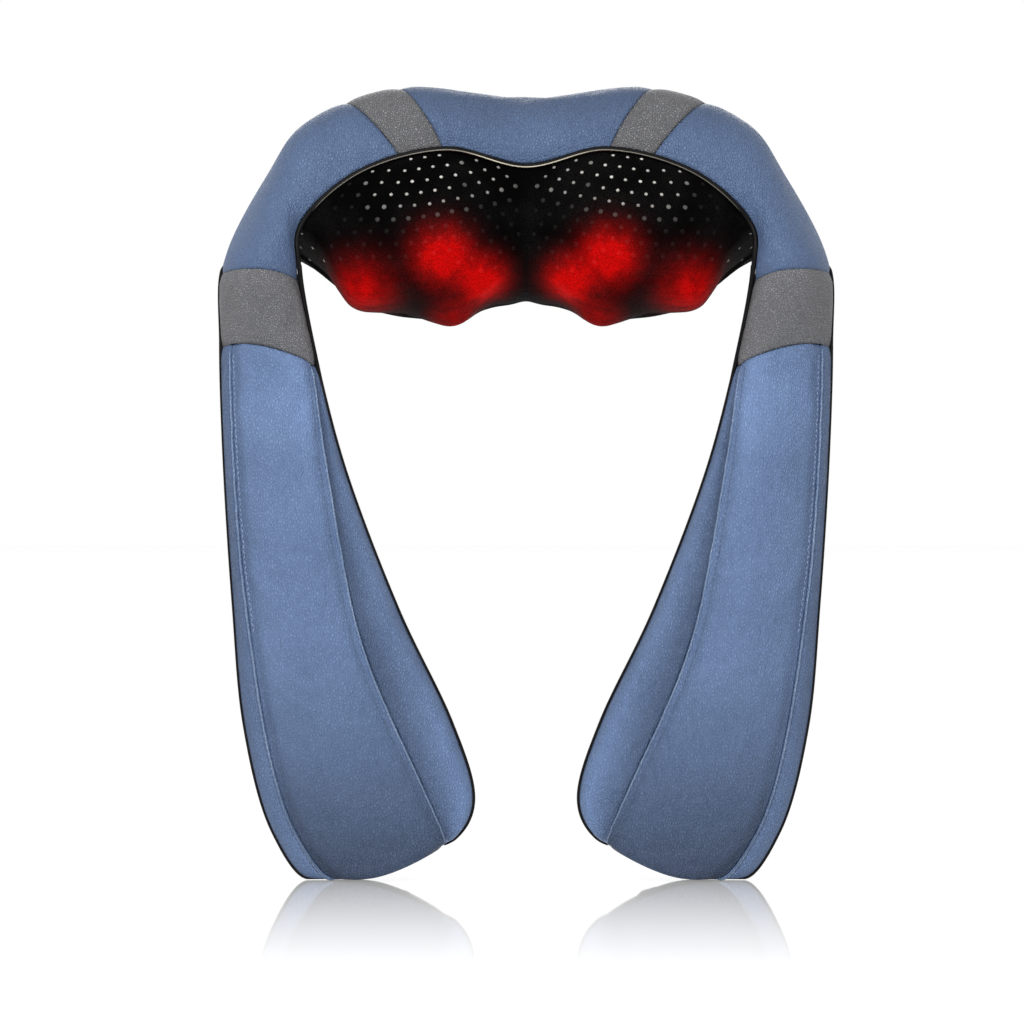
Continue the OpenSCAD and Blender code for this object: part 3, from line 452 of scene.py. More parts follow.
leatherPlans = {
    "blueLeather": {"dark": (0.137, 0.210, 0.378), "light": (0.163, 0.244, 0.430),
                    "crease": (0.092, 0.148, 0.276), "creaseTint": 0.55, "shine": 0.3, "roughness": 0.47,
                    "cells": 640.0, "stretch": 0.62, "along": 16.0, "across": 90.0,
                    "grainDepth": 0.00042, "foldDepth": 0.0002},
    "grayLeather": {"dark": (0.222, 0.223, 0.236), "light": (0.282, 0.283, 0.298),
                    "crease": (0.118, 0.119, 0.126), "creaseTint": 0.9, "shine": 0.3, "roughness": 0.5,
                    "cells": 760.0, "stretch": 0.85, "along": 60.0, "across": 90.0,
                    "grainDepth": 0.0005, "foldDepth": 0.0002},
    "blackLeather": {"dark": (0.0018, 0.0018, 0.002), "light": (0.0075, 0.0072, 0.0074),
                     "crease": (0.001, 0.001, 0.001), "creaseTint": 0.7, "shine": 0.005, "roughness": 0.58,
                     "cells": 700.0, "stretch": 0.8, "along": 40.0, "across": 60.0,
                     "grainDepth": 0.0002, "foldDepth": 0.0004},
}
blueLeather = leatherMaterial("blueLeather", leatherPlans["blueLeather"])
grayLeather = leatherMaterial("grayLeather", leatherPlans["grayLeather"])


def mouldedMaterial(name, dark, light, roughness, scale, depth, extra=None):
    material, tree, shader, output = newMaterial(name, extra or {})
    place = readPlace(tree)["Object"]
    grain = useGroup(tree, mouldGrain, {"Vector": place, "Scale": scale})
    wearAndPaintedShade = remap(tree, grain["Patch"], 0, 1, max(0.05, roughness - 0.07), roughness + 0.08)
    setInput(tree, shader["Base Color"], blendColours(tree, grain["Patch"], dark, light))
    setInput(tree, shader["Roughness"], wearAndPaintedShade)
    setInput(tree, shader["Normal"], bumpFrom(tree, grain["Height"], depth))
    return material


def wovenMaterial(name, dark, light, threads):
    material, tree, shader, output = newMaterial(name, {"Roughness": 0.8, "Sheen Weight": 0.2})
    place = readPlace(tree)
    cloth = useGroup(tree, weave, {"Vector": place["UV"], "Thread Scale": threads})
    grain = useGroup(tree, mouldGrain, {"Vector": place["Object"], "Scale": 900.0})
    tone = blendColours(tree, grain["Patch"], dark, light)
    colour = blendColours(tree, cloth["Gap"], tone, tuple(0.3 * c for c in dark))
    setInput(tree, shader["Base Color"], colour)
    setInput(tree, shader["Normal"], bumpFrom(tree, cloth["Height"], 0.00025, 0.9))
    return material


# Moulded, cast and spun finishes: dark tone, light tone, roughness, grain scale, grain depth and extras
finishPlans = {
    "pipingGloss": ((0.006, 0.006, 0.007), (0.012, 0.011, 0.011), 0.3, 900.0, 0.00004,
                    {"Specular IOR Level": 0.05}),
    "blueThread": ((0.21, 0.28, 0.43), (0.30, 0.39, 0.56), 0.6, 3000.0, 0.00006),
    "darkThread": ((0.07, 0.105, 0.18), (0.10, 0.15, 0.25), 0.6, 3000.0, 0.00006),
    "zipNylon": ((0.012, 0.012, 0.013), (0.03, 0.03, 0.032), 0.32, 1800.0, 0.00005),
    "blackPlastic": ((0.012, 0.012, 0.013), (0.022, 0.022, 0.024), 0.42, 2400.0, 0.00006),
    "frameNylon": ((0.030, 0.031, 0.034), (0.048, 0.049, 0.053), 0.5, 1800.0, 0.0001),
    "gearNylon": ((0.62, 0.60, 0.52), (0.76, 0.74, 0.66), 0.4, 900.0, 0.00005, {"IOR": 1.53}),
    "brightSteel": ((0.52, 0.53, 0.55), (0.64, 0.65, 0.67), 0.26, 2600.0, 0.00003, {"Metallic": 1.0}),
    "castZinc": ((0.36, 0.36, 0.38), (0.50, 0.50, 0.52), 0.34, 1500.0, 0.00006, {"Metallic": 1.0}),
    "bronze": ((0.42, 0.25, 0.10), (0.55, 0.35, 0.15), 0.34, 2000.0, 0.00004, {"Metallic": 1.0}),
    "boardGreen": ((0.010, 0.085, 0.035), (0.016, 0.13, 0.055), 0.34, 500.0, 0.00012),
    "batteryWrap": ((0.02, 0.09, 0.24), (0.03, 0.12, 0.30), 0.3, 400.0, 0.0001),
    "wireInsulation": ((0.25, 0.012, 0.010), (0.34, 0.02, 0.016), 0.38, 800.0, 0.00004),
    "fillingFoam": ((0.30, 0.30, 0.29), (0.42, 0.42, 0.40), 0.92, 700.0, 0.0009),
    "litSilicone": ((0.42, 0.015, 0.010), (0.62, 0.03, 0.02), 0.36, 900.0, 0.00005,
                    {"Emission Color": (0.8, 0.012, 0.008, 1), "Emission Strength": 0.6,
                     "Subsurface Weight": 0.25, "Subsurface Scale": 0.004}),
    "clearLens": ((0.35, 0.37, 0.38), (0.48, 0.5, 0.52), 0.12, 900.0, 0.00002,
                  {"Emission Color": (0.1, 0.5, 0.9, 1), "Emission Strength": 0.25, "IOR": 1.58}),
    "buttonRubber": ((0.045, 0.045, 0.048), (0.07, 0.07, 0.074), 0.55, 1600.0, 0.00007),
}
finishes = {name: mouldedMaterial(name, *plan) for name, plan in finishPlans.items()}
finishes["zipCloth"] = wovenMaterial("zipCloth", (0.012, 0.012, 0.013), (0.022, 0.022, 0.024), 1400.0)
liningCloth = wovenMaterial("liningCloth", (0.012, 0.012, 0.014), (0.02, 0.02, 0.023), 700.0)
print("materials ready: leather, cloth and", len(finishPlans), "moulded finishes")


# Modelling helpers
def deselectAll():
    if bpy.context.object and bpy.context.object.mode != "OBJECT":
        bpy.ops.object.mode_set(mode="OBJECT")
    bpy.ops.object.select_all(action="DESELECT")


def makeActive(piece):
    deselectAll()
    piece.select_set(True)
    bpy.context.view_layer.objects.active = piece


def applyModifiers(piece):
    makeActive(piece)
    for modifier in list(piece.modifiers):
        bpy.ops.object.modifier_apply(modifier=modifier.name)


def addModifier(piece, kind, **settings):
    modifier = piece.modifiers.new(kind.lower(), kind)
    for key, value in settings.items():
        setattr(modifier, key, value)
    return modifier


def readPlaces(vertices):
    co = np.zeros(len(vertices) * 3)
    vertices.foreach_get("co", co)
    return co.reshape(-1, 3)


def places(piece):
    return readPlaces(piece.data.vertices)


def setPlaces(piece, co):
    piece.data.vertices.foreach_set("co", np.asarray(co, np.float32).ravel())
    piece.data.update()


def paint(piece, name, values):
    layer = piece.data.attributes.new(name, "FLOAT", "POINT")
    layer.data.foreach_set("value", np.asarray(values, np.float32))


def treeOf(piece):
    faces = [tuple(face.vertices) for face in piece.data.polygons]
    return BVHTree.FromPolygons([vertex.co.copy() for vertex in piece.data.vertices], faces)


def meshPiece(name, verts, faces, material):
    mesh = bpy.data.meshes.new(name)
    mesh.from_pydata([tuple(v) for v in verts], [], [tuple(f) for f in faces])
    mesh.update()
    piece = bpy.data.objects.new(name, mesh)
    bpy.context.scene.collection.objects.link(piece)
    piece.data.materials.append(material)
    mesh.shade_smooth()
    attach(piece, "strap")
    return piece


def runAlong(line):
    return np.concatenate([[0], np.cumsum(np.linalg.norm(np.diff(line, axis=0), axis=1))])


# Sewn panels: each is a sheet cut to its seams, blown up by its padding, then given its thickness
sheetPlan = {"frames": 20, "tension": 40, "bending": 2.0, "ease": -0.004, "mass": 0.2, "quality": 6,
             "seamDepth": 0.0013, "seamWidth": 0.0042, "floorRoom": 0.0003}
panelGrids = {}


# How far each place of a sheet is from its four edges, in metres
def sheetReach(place, along, across):
    order = np.lexsort((across, along))
    rows = len(np.unique(np.round(along, 5)))
    grid = place[order].reshape(rows, -1, 3)
    stepsU = np.cumsum(np.linalg.norm(np.diff(grid, axis=0), axis=2), axis=0)
    stepsU = np.concatenate([np.zeros((1, grid.shape[1])), stepsU])
    stepsT = np.cumsum(np.linalg.norm(np.diff(grid, axis=1), axis=2), axis=1)
    stepsT = np.concatenate([np.zeros((rows, 1)), stepsT], 1)
    back = np.empty(len(place), int)
    back[order] = np.arange(len(place))
    return [r.ravel()[back] for r in (stepsU, stepsU[-1:] - stepsU, stepsT, stepsT[:, -1:] - stepsT)]


# Where a sheet's places lie on the strap, and which way is out
def layOut(plan, along, across):
    side = plan["side"]
    u = plan["u"][0] + (plan["u"][1] - plan["u"][0]) * along
    if "bend" in plan:
        seamU = np.full(len(u), strapForm["armStart"], float)
        seamT = plan["t0"](seamU) + (plan["t1"](seamU) - plan["t0"](seamU)) * across
        u = u + np.sign(u) * knotValue(strapForm["armBandBend"], seamT) * plan["bend"](along)
    low, high = [gap(u) if callable(gap) else gap for gap in plan["gaps"]]
    start = plan["t0"](u) + acrossIn(side, u, plan["t0"](u), low)
    end = plan["t1"](u) - acrossIn(side, u, plan["t1"](u), high)
    t = start + (end - start) * across
    place, out = skinAt(side, u, t), outwardAt(side, u, t)
    rim = np.clip(1 - np.minimum(t, 1 - t) / 0.04, 0, 1)[:, None]
    return u, place, toUnit(out * (1 - rim) + toUnit(place - ribMiddle(u)) * rim)


def gridPanel(name, plan):
    deselectAll()
    rows, columns = plan["cells"]
    bpy.ops.mesh.primitive_grid_add(x_subdivisions=rows, y_subdivisions=columns, size=1)
    piece = bpy.context.object
    piece.name = name
    co = places(piece)
    along, across = co[:, 0] + 0.5, co[:, 1] + 0.5
    u, place, out = layOut(plan, along, across)
    reach = sheetReach(place, along, across)
    offset = np.zeros(len(place))
    for edge, depth in zip(reach, plan["seams"]):
        offset -= depth * sheetPlan["seamDepth"] * np.exp(-(edge / sheetPlan["seamWidth"]) ** 2)
    if "shape" in plan:
        offset += plan["shape"](place, across, reach)
    place = place + out * offset[:, None]
    place[:, 2] = restOnFloor(place[:, 2])
    setPlaces(piece, place)
    sheetMap(piece, place, along, across)
    faceOut(piece, out)
    # Painted shading: the plan's function gives the attribute that darkens or lightens the sheet's colour
    paint(piece, "paintedShading", plan["paintedShading"](place, across, reach) if "paintedShading" in plan else np.ones(len(place)))
    return piece


# A UV map in metres, as the sheet lay before it was sewn
def sheetMap(piece, place, along, across):
    reach = sheetReach(place, along, across)
    middle = 0.5 * (reach[2] - reach[3])
    flat = np.stack([reach[0], middle - middle.min()], 1)
    layer = piece.data.uv_layers.active
    layer.name = "sheet"
    corners = np.zeros(len(piece.data.loops), int)
    piece.data.loops.foreach_get("vertex_index", corners)
    layer.data.foreach_set("uv", flat[corners].astype(np.float32).ravel())


def faceOut(piece, out):
    if sum(face.normal.dot(Vector(out[face.vertices[0]])) for face in piece.data.polygons) < 0:
        makeActive(piece)
        bpy.ops.object.mode_set(mode="EDIT")
        bpy.ops.mesh.select_all(action="SELECT")
        bpy.ops.mesh.flip_normals()
        bpy.ops.object.mode_set(mode="OBJECT")


def rimPlaces(piece):
    count = {}
    for face in piece.data.polygons:
        for key in face.edge_keys:
            count[key] = count.get(key, 0) + 1
    return sorted({i for key, n in count.items() if n == 1 for i in key})


def inflate(piece, plan):
    rest = places(piece)
    held = piece.vertex_groups.new(name="seams")
    held.add(rimPlaces(piece), 1.0, "REPLACE")
    cloth = addModifier(piece, "CLOTH")
    settings = cloth.settings
    settings.quality = sheetPlan["quality"]
    settings.mass = sheetPlan["mass"]
    settings.vertex_group_mass = "seams"
    settings.use_pressure = True
    settings.uniform_pressure_force = plan["pressure"]
    settings.tension_stiffness = sheetPlan["tension"]
    settings.compression_stiffness = sheetPlan["tension"]
    settings.bending_stiffness = sheetPlan["bending"]
    settings.shrink_min = sheetPlan["ease"]
    settings.effector_weights.gravity = 0
    cloth.collision_settings.use_collision = False
    cloth.point_cache.frame_start = 1
    cloth.point_cache.frame_end = sheetPlan["frames"]
    scene = bpy.context.scene
    for step in range(1, sheetPlan["frames"] + 1):
        scene.frame_set(step)
    seen = piece.evaluated_get(bpy.context.evaluated_depsgraph_get())
    move = readPlaces(seen.data.vertices) - rest
    length = np.linalg.norm(move, axis=1, keepdims=True)
    move *= np.minimum(1, plan["cap"] / np.maximum(length, 1e-9))
    piece.modifiers.remove(cloth)
    piece.vertex_groups.remove(held)
    scene.frame_set(1)
    place = rest + move
    place[:, 2] = np.maximum(place[:, 2], 2 * sheetPlan["floorRoom"])
    setPlaces(piece, place)


def sewPanel(name, plan):
    piece = gridPanel(name, plan)
    inflate(piece, plan)
    addModifier(piece, "SUBSURF", levels=1, render_levels=1, boundary_smooth="PRESERVE_CORNERS")
    applyModifiers(piece)
    panelGrids[name] = treeOf(piece)
    addModifier(piece, "SOLIDIFY", thickness=plan["thick"], offset=-1)
    applyModifiers(piece)
    place = places(piece)
    place[:, 2] = np.maximum(place[:, 2], sheetPlan["floorRoom"])
    setPlaces(piece, place)
    piece.data.materials.clear()
    piece.data.materials.append(plan["material"])
    piece.data.shade_smooth()
    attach(piece, "strap")
    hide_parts(plan["node"])
    print("sewn:", name)
    return piece


def noEdge(u):
    return np.zeros(len(u))


def fullEdge(u):
    return np.ones(len(u))


def bell(x, middle, wide):
    return np.exp(-((x - middle) / wide) ** 2)


# The sheet sinks behind the control panel, which leaves its buttons room to travel
pocketPlan = {"depth": 0.0035, "halfWide": 0.045, "halfHigh": 0.0135, "easeWide": 0.005, "easeHigh": 0.004,
              "panelUp": (0, -0.547, 0.837), "backFrom": 0.03}


def pocketShape(place, across, reach):
    low, high = [np.array(corner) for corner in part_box("control_bezel")]
    away = place - 0.5 * (low + high)
    height = np.abs(away @ np.array(pocketPlan["panelUp"]))
    inside = np.clip((pocketPlan["halfWide"] - np.abs(away[:, 0])) / pocketPlan["easeWide"], 0, 1)
    inside = inside * np.clip((pocketPlan["halfHigh"] - height) / pocketPlan["easeHigh"], 0, 1)
    return -pocketPlan["depth"] * inside * (place[:, 1] > pocketPlan["backFrom"])


# The front sheet rises to the welt of its inner seam, and dips beside the outer one
def frontShape(place, across, reach):
    return 0.0009 * bell(reach[2], 0.003, 0.0025) - 0.0013 * bell(reach[3], 0.006, 0.0035)


def outerShape(place, across, reach):
    return 0.0009 * bell(reach[2], 0.003, 0.002)


# The inner gusset dips beside its seam and rolls up towards the piping
def gussetShape(place, across, reach):
    wide = np.clip((reach[2] + reach[3]) / 0.03, 0, 1)
    return wide * (-0.0034 * bell(across, 0.78, 0.2) + 0.0016 * bell(across, 0.3, 0.22))


# Painted shade darkens the sheets over the top of the yoke and towards the hems, and painted highlight
# lightens them where they stand out
def yokePaintedShading(place, across, reach):
    return 0.82 - 0.26 * bell(place[:, 2], 0.515, 0.03)


# Painted shade: the yoke band darkens from its inner edge towards its outer one
def bandPaintedShading(place, across, reach):
    return knotValue([(0, 0.95), (0.5, 0.84), (1, 0.8)], across)


# The arm band's tone is raised, and painted shade darkens it towards both edges
def armBandPaintedShading(place, across, reach):
    return 1.14 - 0.3 * np.clip((0.14 - across) / 0.14, 0, 1) ** 2 - 0.2 * np.clip((across - 0.6) / 0.4, 0, 1)


def frontPaintedShading(place, across, reach):
    # Painted shade darkens the front sheet towards the floor and in the valleys beside both seams; painted
    # highlight lightens its upper inner part
    fall = knotValue([(0, 0.28), (0.02, 0.39), (0.05, 0.57), (0.09, 0.82), (0.15, 1.05), (0.27, 1.08),
                      (0.31, 1.24), (0.345, 1.15)], place[:, 2])
    fall = fall * (1 - 0.26 * bell(reach[3], 0.0045, 0.0035)) * (1 - 0.16 * bell(reach[2], 0.006, 0.003))
    return fall * (1 + 0.22 * bell(across, 0.2, 0.16) * np.clip((place[:, 2] - 0.2) / 0.1, 0, 1))


def innerGussetPaintedShading(place, across, reach):
    # Painted shade darkens the inner gusset beside its seam and towards its outer rim, and painted highlight
    # lightens its middle
    wearAndPaintedShade = knotValue([(0, 0.72), (0.12, 1.0), (0.35, 1.16), (0.62, 0.86), (0.85, 0.6), (1, 0.55)], across)
    return wearAndPaintedShade * knotValue([(0, 1.12), (0.06, 1.12), (0.13, 0.94), (0.2, 1.0), (0.34, 0.82)], place[:, 2])


def outerGussetPaintedShading(place, across, reach):
    # Painted shade darkens the outer gusset at mid height and towards its rim
    return knotValue([(0, 1.0), (0.1, 0.86), (0.2, 0.8), (0.34, 0.86)], place[:, 2]) * (1 - 0.2 * across)


# Room in millimetres for the piping beside a sheet's edge, which opens below the arm band
def pipingRoom(u):
    return knotValue([(5.0, 0.7), (5.3, 1.9), (10, 2.1)], np.abs(u))


def snugRoom(u):
    return knotValue([(3.2, snug), (3.8, 0.1), (4.4, 0.1), (5.0, 0.6)], np.abs(u))


# How much of the arm band's bend a sheet follows, by its place along the arm
def bendFades(along):
    return np.clip(1 - along / 0.15, 0, 1)


def bendGrows(along):
    return along


snug = 0.9
half = strapForm["seamGap"] / 2
zipSeat = strapForm["zipSeat"]
overlap = {"shoulder": 0.5, "armBand": 0.1}  # how far the sheets run past each other at the arm band's seam
yokeSheet = {"side": "leather", "t0": noEdge, "t1": fullEdge, "gaps": (snug, zipSeat),
             "seams": (1, 1, 0.7, 0.7), "thick": 0.0022, "fill": 0.9, "pressure": 2.0,
             "material": blueLeather}
armSheet = {"side": "leather", "t0": noEdge, "t1": fullEdge, "thick": 0.0045, "fill": 0.9, "pressure": 1.5,
            "material": blueLeather, "bend": bendFades}
centreEnd = strapForm["centreSeam"] - alongIn(1.0, half)
panelPlans = {
    "centre_leather": {**yokeSheet, "node": "center_panel", "u": (-centreEnd, centreEnd), "cells": (32, 46),
                       "shape": pocketShape, "paintedShading": yokePaintedShading, "cap": 0.0015},
}
for sign, sideName in ((-1, "left"), (1, "right")):
    bandSpan = (strapForm["centreSeam"] + alongIn(1.0, half), strapForm["bandSeam"] - alongIn(1.5, half))
    shoulderSpan = (strapForm["bandSeam"] + alongIn(1.5, half),
                    strapForm["armBandSeam"] + alongIn(4.0, overlap["shoulder"]))
    armBandSpan = (strapForm["armBandSeam"] - alongIn(4.0, overlap["armBand"]),
                   strapForm["armStart"] - alongIn(5.0, half))
    armSpan = (strapForm["armStart"] + alongIn(5.0, half), strapForm["hem"])
    liningSpan = (strapForm["bandStart"] + alongIn(4.0, half), strapForm["hem"])
    for name, node, span, plan in (
        ("yoke_band_leather", "yoke_band", bandSpan,
         {**yokeSheet, "cells": (8, 46), "paintedShading": bandPaintedShading, "cap": 0.001, "material": grayLeather}),
        ("shoulder_leather", "shoulder_panel", shoulderSpan,
         {**yokeSheet, "gaps": (snugRoom, zipSeat), "cells": (34, 40), "paintedShading": yokePaintedShading, "pressure": 3.0,
          "cap": 0.002}),
        ("arm_band_leather", "arm_band", armBandSpan,
         {**yokeSheet, "gaps": (snugRoom, snug), "seams": (1.2, 1.2, 0.5, 0.5), "cells": (14, 28),
          "bend": bendGrows, "paintedShading": armBandPaintedShading, "cap": 0.0012, "material": grayLeather}),
        ("front_leather", "arm_front", armSpan,
         {**armSheet, "t0": innerSeam, "t1": outerSeam, "gaps": (half, half), "seams": (1, 0.3, 1.5, 1.3),
          "cells": (84, 32), "shape": frontShape, "paintedShading": frontPaintedShading, "pressure": 4.0, "cap": 0.0022}),
        ("inner_gusset_leather", "inner_gusset", armSpan,
         {**armSheet, "t1": innerSeam, "gaps": (pipingRoom, half), "seams": (1, 0.3, 0.4, 1.4),
          "cells": (84, 10), "shape": gussetShape, "paintedShading": innerGussetPaintedShading, "cap": 0.0012}),
        ("outer_gusset_leather", "outer_gusset", armSpan,
         {**armSheet, "t0": outerSeam, "gaps": (half, pipingRoom), "seams": (1, 0.3, 1.3, 0.4),
          "cells": (84, 8), "shape": outerShape, "paintedShading": outerGussetPaintedShading, "cap": 0.001}),
        ("lining_cloth", "arm_lining", liningSpan,
         {"side": "lining", "t0": noEdge, "t1": fullEdge, "gaps": (snug, snug), "seams": (1, 0.3, 0.4, 0.4),
          "cells": (96, 26), "thick": 0.0045, "fill": 0.9, "pressure": 3.0, "cap": 0.002,
          "material": liningCloth}),
    ):
        panelPlans[sideName + "_" + name] = {**plan, "node": sideName + "_" + node,
                                             "u": (sign * span[0], sign * span[1])}
for name, plan in panelPlans.items():
    sewPanel(name, plan)
print("panels sewn:", len(panelPlans))

# Massage cover: black perforated leather stretched over the heads. The red light from behind is a painted
# glow, emission on the cover itself. The glow's reach and strength go with its image point.
glowSpread = {"glowUpper": (0.0147, 1.5), "glowInner": (0.0126, 1.55), "glowOuter": (0.0165, 0.85),
              "glowLower": (0.0115, 0.6)}


def coverGlowPlaces():
    u, t = np.meshgrid(np.linspace(-strapForm["coverEnd"], 0, 90), np.linspace(0.01, 0.99, 80), indexing="ij")
    grid = skinAt("lining", u.ravel(), t.ravel())
    rows, columns = u.shape
    faces = [(i * columns + j, (i + 1) * columns + j, (i + 1) * columns + j + 1, i * columns + j + 1)
             for i in range(rows - 1) for j in range(columns - 1)]
    tree = BVHTree.FromPolygons([Vector(p) for p in grid], faces)
    return {name: placeByRay(photoPoints[name], tree) for name in glowSpread}


glowPlaces = coverGlowPlaces()
lampGlow = makeLampGlow([(glowPlaces[name], *glowSpread[name]) for name in glowSpread])

# Rows of hang: the distance from the middle, how far the lowest line hangs out and how high it lies, in mm
coverForm = {
    "hang": [(0, 0, 376), (20, -1.6, 373), (33, 0.8, 369), (40, 4.2, 365), (47, 5, 362), (53, 4.2, 363),
             (60, 1.6, 364), (73, -2.5, 366), (79, -3.8, 366), (86, -3.2, 366), (99, 0.6, 367),
             (105, 3.2, 369), (112, 4, 373), (118, 1.5, 378), (131, -3, 393), (141, -2, 399)],
    "hangWide": 13,
    "swellings": {"glowUpper": (0.0026, 0.015), "glowInner": (0.0024, 0.013), "glowOuter": (0.0018, 0.014),
                  "glowLower": (0.0030, 0.012)},
    "valley": (0.0022, 0.0075), "pull": 0.0005,
}


# The nodes stand out under the cover, and a pull line runs from each lobe down to the middle
def coverShape(place, across, reach):
    folded = np.abs(place) * np.array([1, 0, 0]) + place * np.array([0, 1, 1])
    lift = np.zeros(len(place))
    for name, (height, wide) in coverForm["swellings"].items():
        centre = np.array([abs(glowPlaces[name][0]), glowPlaces[name][1], glowPlaces[name][2]])
        lift += height * bell(np.linalg.norm(folded - centre, axis=1), 0, wide)
    depth, wide = coverForm["valley"]
    valley = -depth * bell(place[:, 0], 0, wide) * np.clip(reach[2] / 0.03, 0, 1)
    aside, hang, height = np.transpose(coverForm["hang"])
    low = np.interp(folded[:, 0] * 1000, aside, hang)
    floor = np.interp(folded[:, 0] * 1000, aside, height)
    lift += low / 1000 * bell(place[:, 2] * 1000, floor, coverForm["hangWide"]) * (place[:, 1] < 0.01)
    ripple = np.sin(folded[:, 0] * 210 + folded[:, 2] * 120)
    pull = coverForm["pull"] * ripple * bell(folded[:, 0], 0.02, 0.022)
    return (lift + valley + pull * np.clip(reach[2] / 0.05, 0, 1)) * np.clip(reach[2] / 0.012, 0, 1)


def coverMaterial(name, plan, glow, pale=False):
    material, tree, shader, output = newMaterial(name, {
        "Roughness": plan["roughness"], "Specular IOR Level": plan["shine"], "Emission Strength": 1.0})
    place, grain, dull, normal = leatherLook(tree, plan, 0.6)
    light = useGroup(tree, lampGlow, {"Vector": place["Object"]})["Glow"]
    if pale:
        dull = blendColours(tree, readAttribute(tree, "pale"), dull, (0.88, 0.84, 0.79))
    # Painted glow: it is weaker in the grain's creases, and the base colour is reddened where it glows
    wearAndPaintedShade = joinMath(tree, "SUBTRACT", 1.0, joinMath(tree, "MULTIPLY", grain["Crease"], 0.45))
    strength = joinMath(tree, "MULTIPLY", joinMath(tree, "MULTIPLY", light, wearAndPaintedShade), glow)
    colour = blendColours(tree, light, dull, (0.06, 0.0015, 0.0015))
    setInput(tree, shader["Base Color"], colour)
    setInput(tree, shader["Emission Color"], blendColours(tree, strength, (0, 0, 0), (1.0, 0.0035, 0.003)))
    setInput(tree, shader["Normal"], normal)
    return material


coverReach = strapForm["bandStart"] - 0.01
cover = sewPanel("perforated_cover", {
    "node": "massage_cover", "side": "lining", "u": (-coverReach, coverReach), "t0": noEdge, "t1": fullEdge,
    "gaps": (snug, zipSeat), "cells": (120, 56), "seams": (0.3, 0.3, 0.9, 0.7), "thick": 0.0018,
    "pressure": 1.2, "cap": 0.0008, "fill": 0.8, "shape": coverShape,
    "material": coverMaterial("perforatedLeather", leatherPlans["blackLeather"], 0.66),
})


# Small pieces repeated along a line or over a sheet: one is modelled, and the rest are its copies
def takeShape(piece, co):
    shape = (co, [tuple(face.vertices) for face in piece.data.polygons])
    bpy.data.objects.remove(piece)
    return shape


def smallBall(sides, rings):
    deselectAll()
    bpy.ops.mesh.primitive_uv_sphere_add(segments=sides, ring_count=rings, radius=1)
    return bpy.context.object


def smallDome(radius, height):
    dome = smallBall(10, 6)
    bpy.ops.object.mode_set(mode="EDIT")
    bpy.ops.mesh.select_all(action="SELECT")
    bpy.ops.mesh.bisect(plane_co=(0, 0, 0), plane_no=(0, 0, 1), clear_inner=True)
    bpy.ops.object.mode_set(mode="OBJECT")
    return takeShape(dome, places(dome) * np.array([radius, radius, height]))


def smallCapsule(radius, length):
    bead = smallBall(6, 6)
    co = places(bead)
    return takeShape(bead, np.stack([co[:, 2] * length / 2, co[:, 0] * radius, co[:, 1] * radius], 1))


def copyAlong(shape, centres, xAxes, zAxes):
    verts, faces = [], []
    base, cells = shape
    for centre, x, z in zip(centres, xAxes, zAxes):
        z = toUnit(z)
        x = toUnit(x - z * np.dot(x, z))
        turn = np.stack([x, np.cross(z, x), z])
        start = len(verts)
        verts.extend(base @ turn + centre)
        faces.extend(tuple(start + i for i in cell) for cell in cells)
    return verts, faces


# Studs and bosses of the cover, in level rows that climb towards the middle, each shifted a little. Those in
# the upper rows are pale studs, and lower down they are the leather's own bosses.
dotPlan = {"column": 0.00909, "row": 0.0079, "shift": 0.415, "level": 0.432, "climb": 0.012,
           "climbFrom": 0.079, "firstRow": -2, "lastRow": 30, "levelRow": 6, "narrow": 0.003, "wide": 0.124,
           "flat": 0.72, "edgeRoom": 0.0042, "lowestFacing": -0.45, "paleRows": 5.9, "paleWide": 0.101,
           "paleFrom": 0.3, "unevenWide": 0.042, "sunk": 0.00012, "stud": (0.00125, 0.0007),
           "boss": (0.0017, 0.0006)}
# Studs at the cover's ends, in millimetres aside from and above the one that has an image point
endStuds = [(0.5, 8.9), (0, 0), (7.7, -0.5), (5.9, -8.1), (15.1, -8.8)]
endStudPlace = placeByRay(photoPoints["endStud"], panelGrids["perforated_cover"])


def coverRows():
    u = np.linspace(-strapForm["coverEnd"] + 0.02, 0, 420)
    t = np.linspace(0.008, 0.985, 300)
    grid = skinAt("lining", np.repeat(u, len(t)), np.tile(t, len(u))).reshape(len(u), len(t), 3)
    steps = np.diff(grid, axis=1)
    drop, length = np.abs(steps[:, :, 2]), np.linalg.norm(steps, axis=2)
    pace = np.maximum(drop, dotPlan["flat"] * length) / dotPlan["row"]
    depth = np.concatenate([np.zeros((len(u), 1)), np.cumsum(pace, 1)], 1)
    climb = np.clip((dotPlan["climbFrom"] - np.abs(grid[:, :, 0])) / 0.064, 0, 1.3) ** 1.4
    level = dotPlan["level"] + dotPlan["climb"] * climb
    for i in range(len(u)):
        below = np.nonzero(grid[i, :, 2] < level[i])[0]
        depth[i] += dotPlan["levelRow"] - (depth[i, below[0]] if len(below) else 0)
    found = []
    for row in range(dotPlan["firstRow"], dotPlan["lastRow"]):
        line = np.array([[np.interp(row, depth[i], grid[i, :, k]) for k in range(3)]
                         for i in range(len(u)) if depth[i, 0] < row < depth[i, -1]])
        if len(line) < 12:
            continue
        reach = -line[:, 0]
        spread = reach - 0.13 * np.clip(reach - 0.08, 0, 1)
        for k in range(-1, 16):
            wanted = dotPlan["column"] * (k + (0.07 + dotPlan["shift"] * (row - 2)) % 1)
            for i in np.nonzero((spread[:-1] - wanted) * (spread[1:] - wanted) < 0)[0]:
                if dotPlan["narrow"] < reach[i] < dotPlan["wide"]:
                    found.append((row, line[i]))
    return found


def endSpots(tree):
    for aside, above in endStuds:
        shown = shownAt(endStudPlace + Vector((aside, 0, above)) / 1000)[0]
        yield None, np.array(placeByRay(shown, tree))


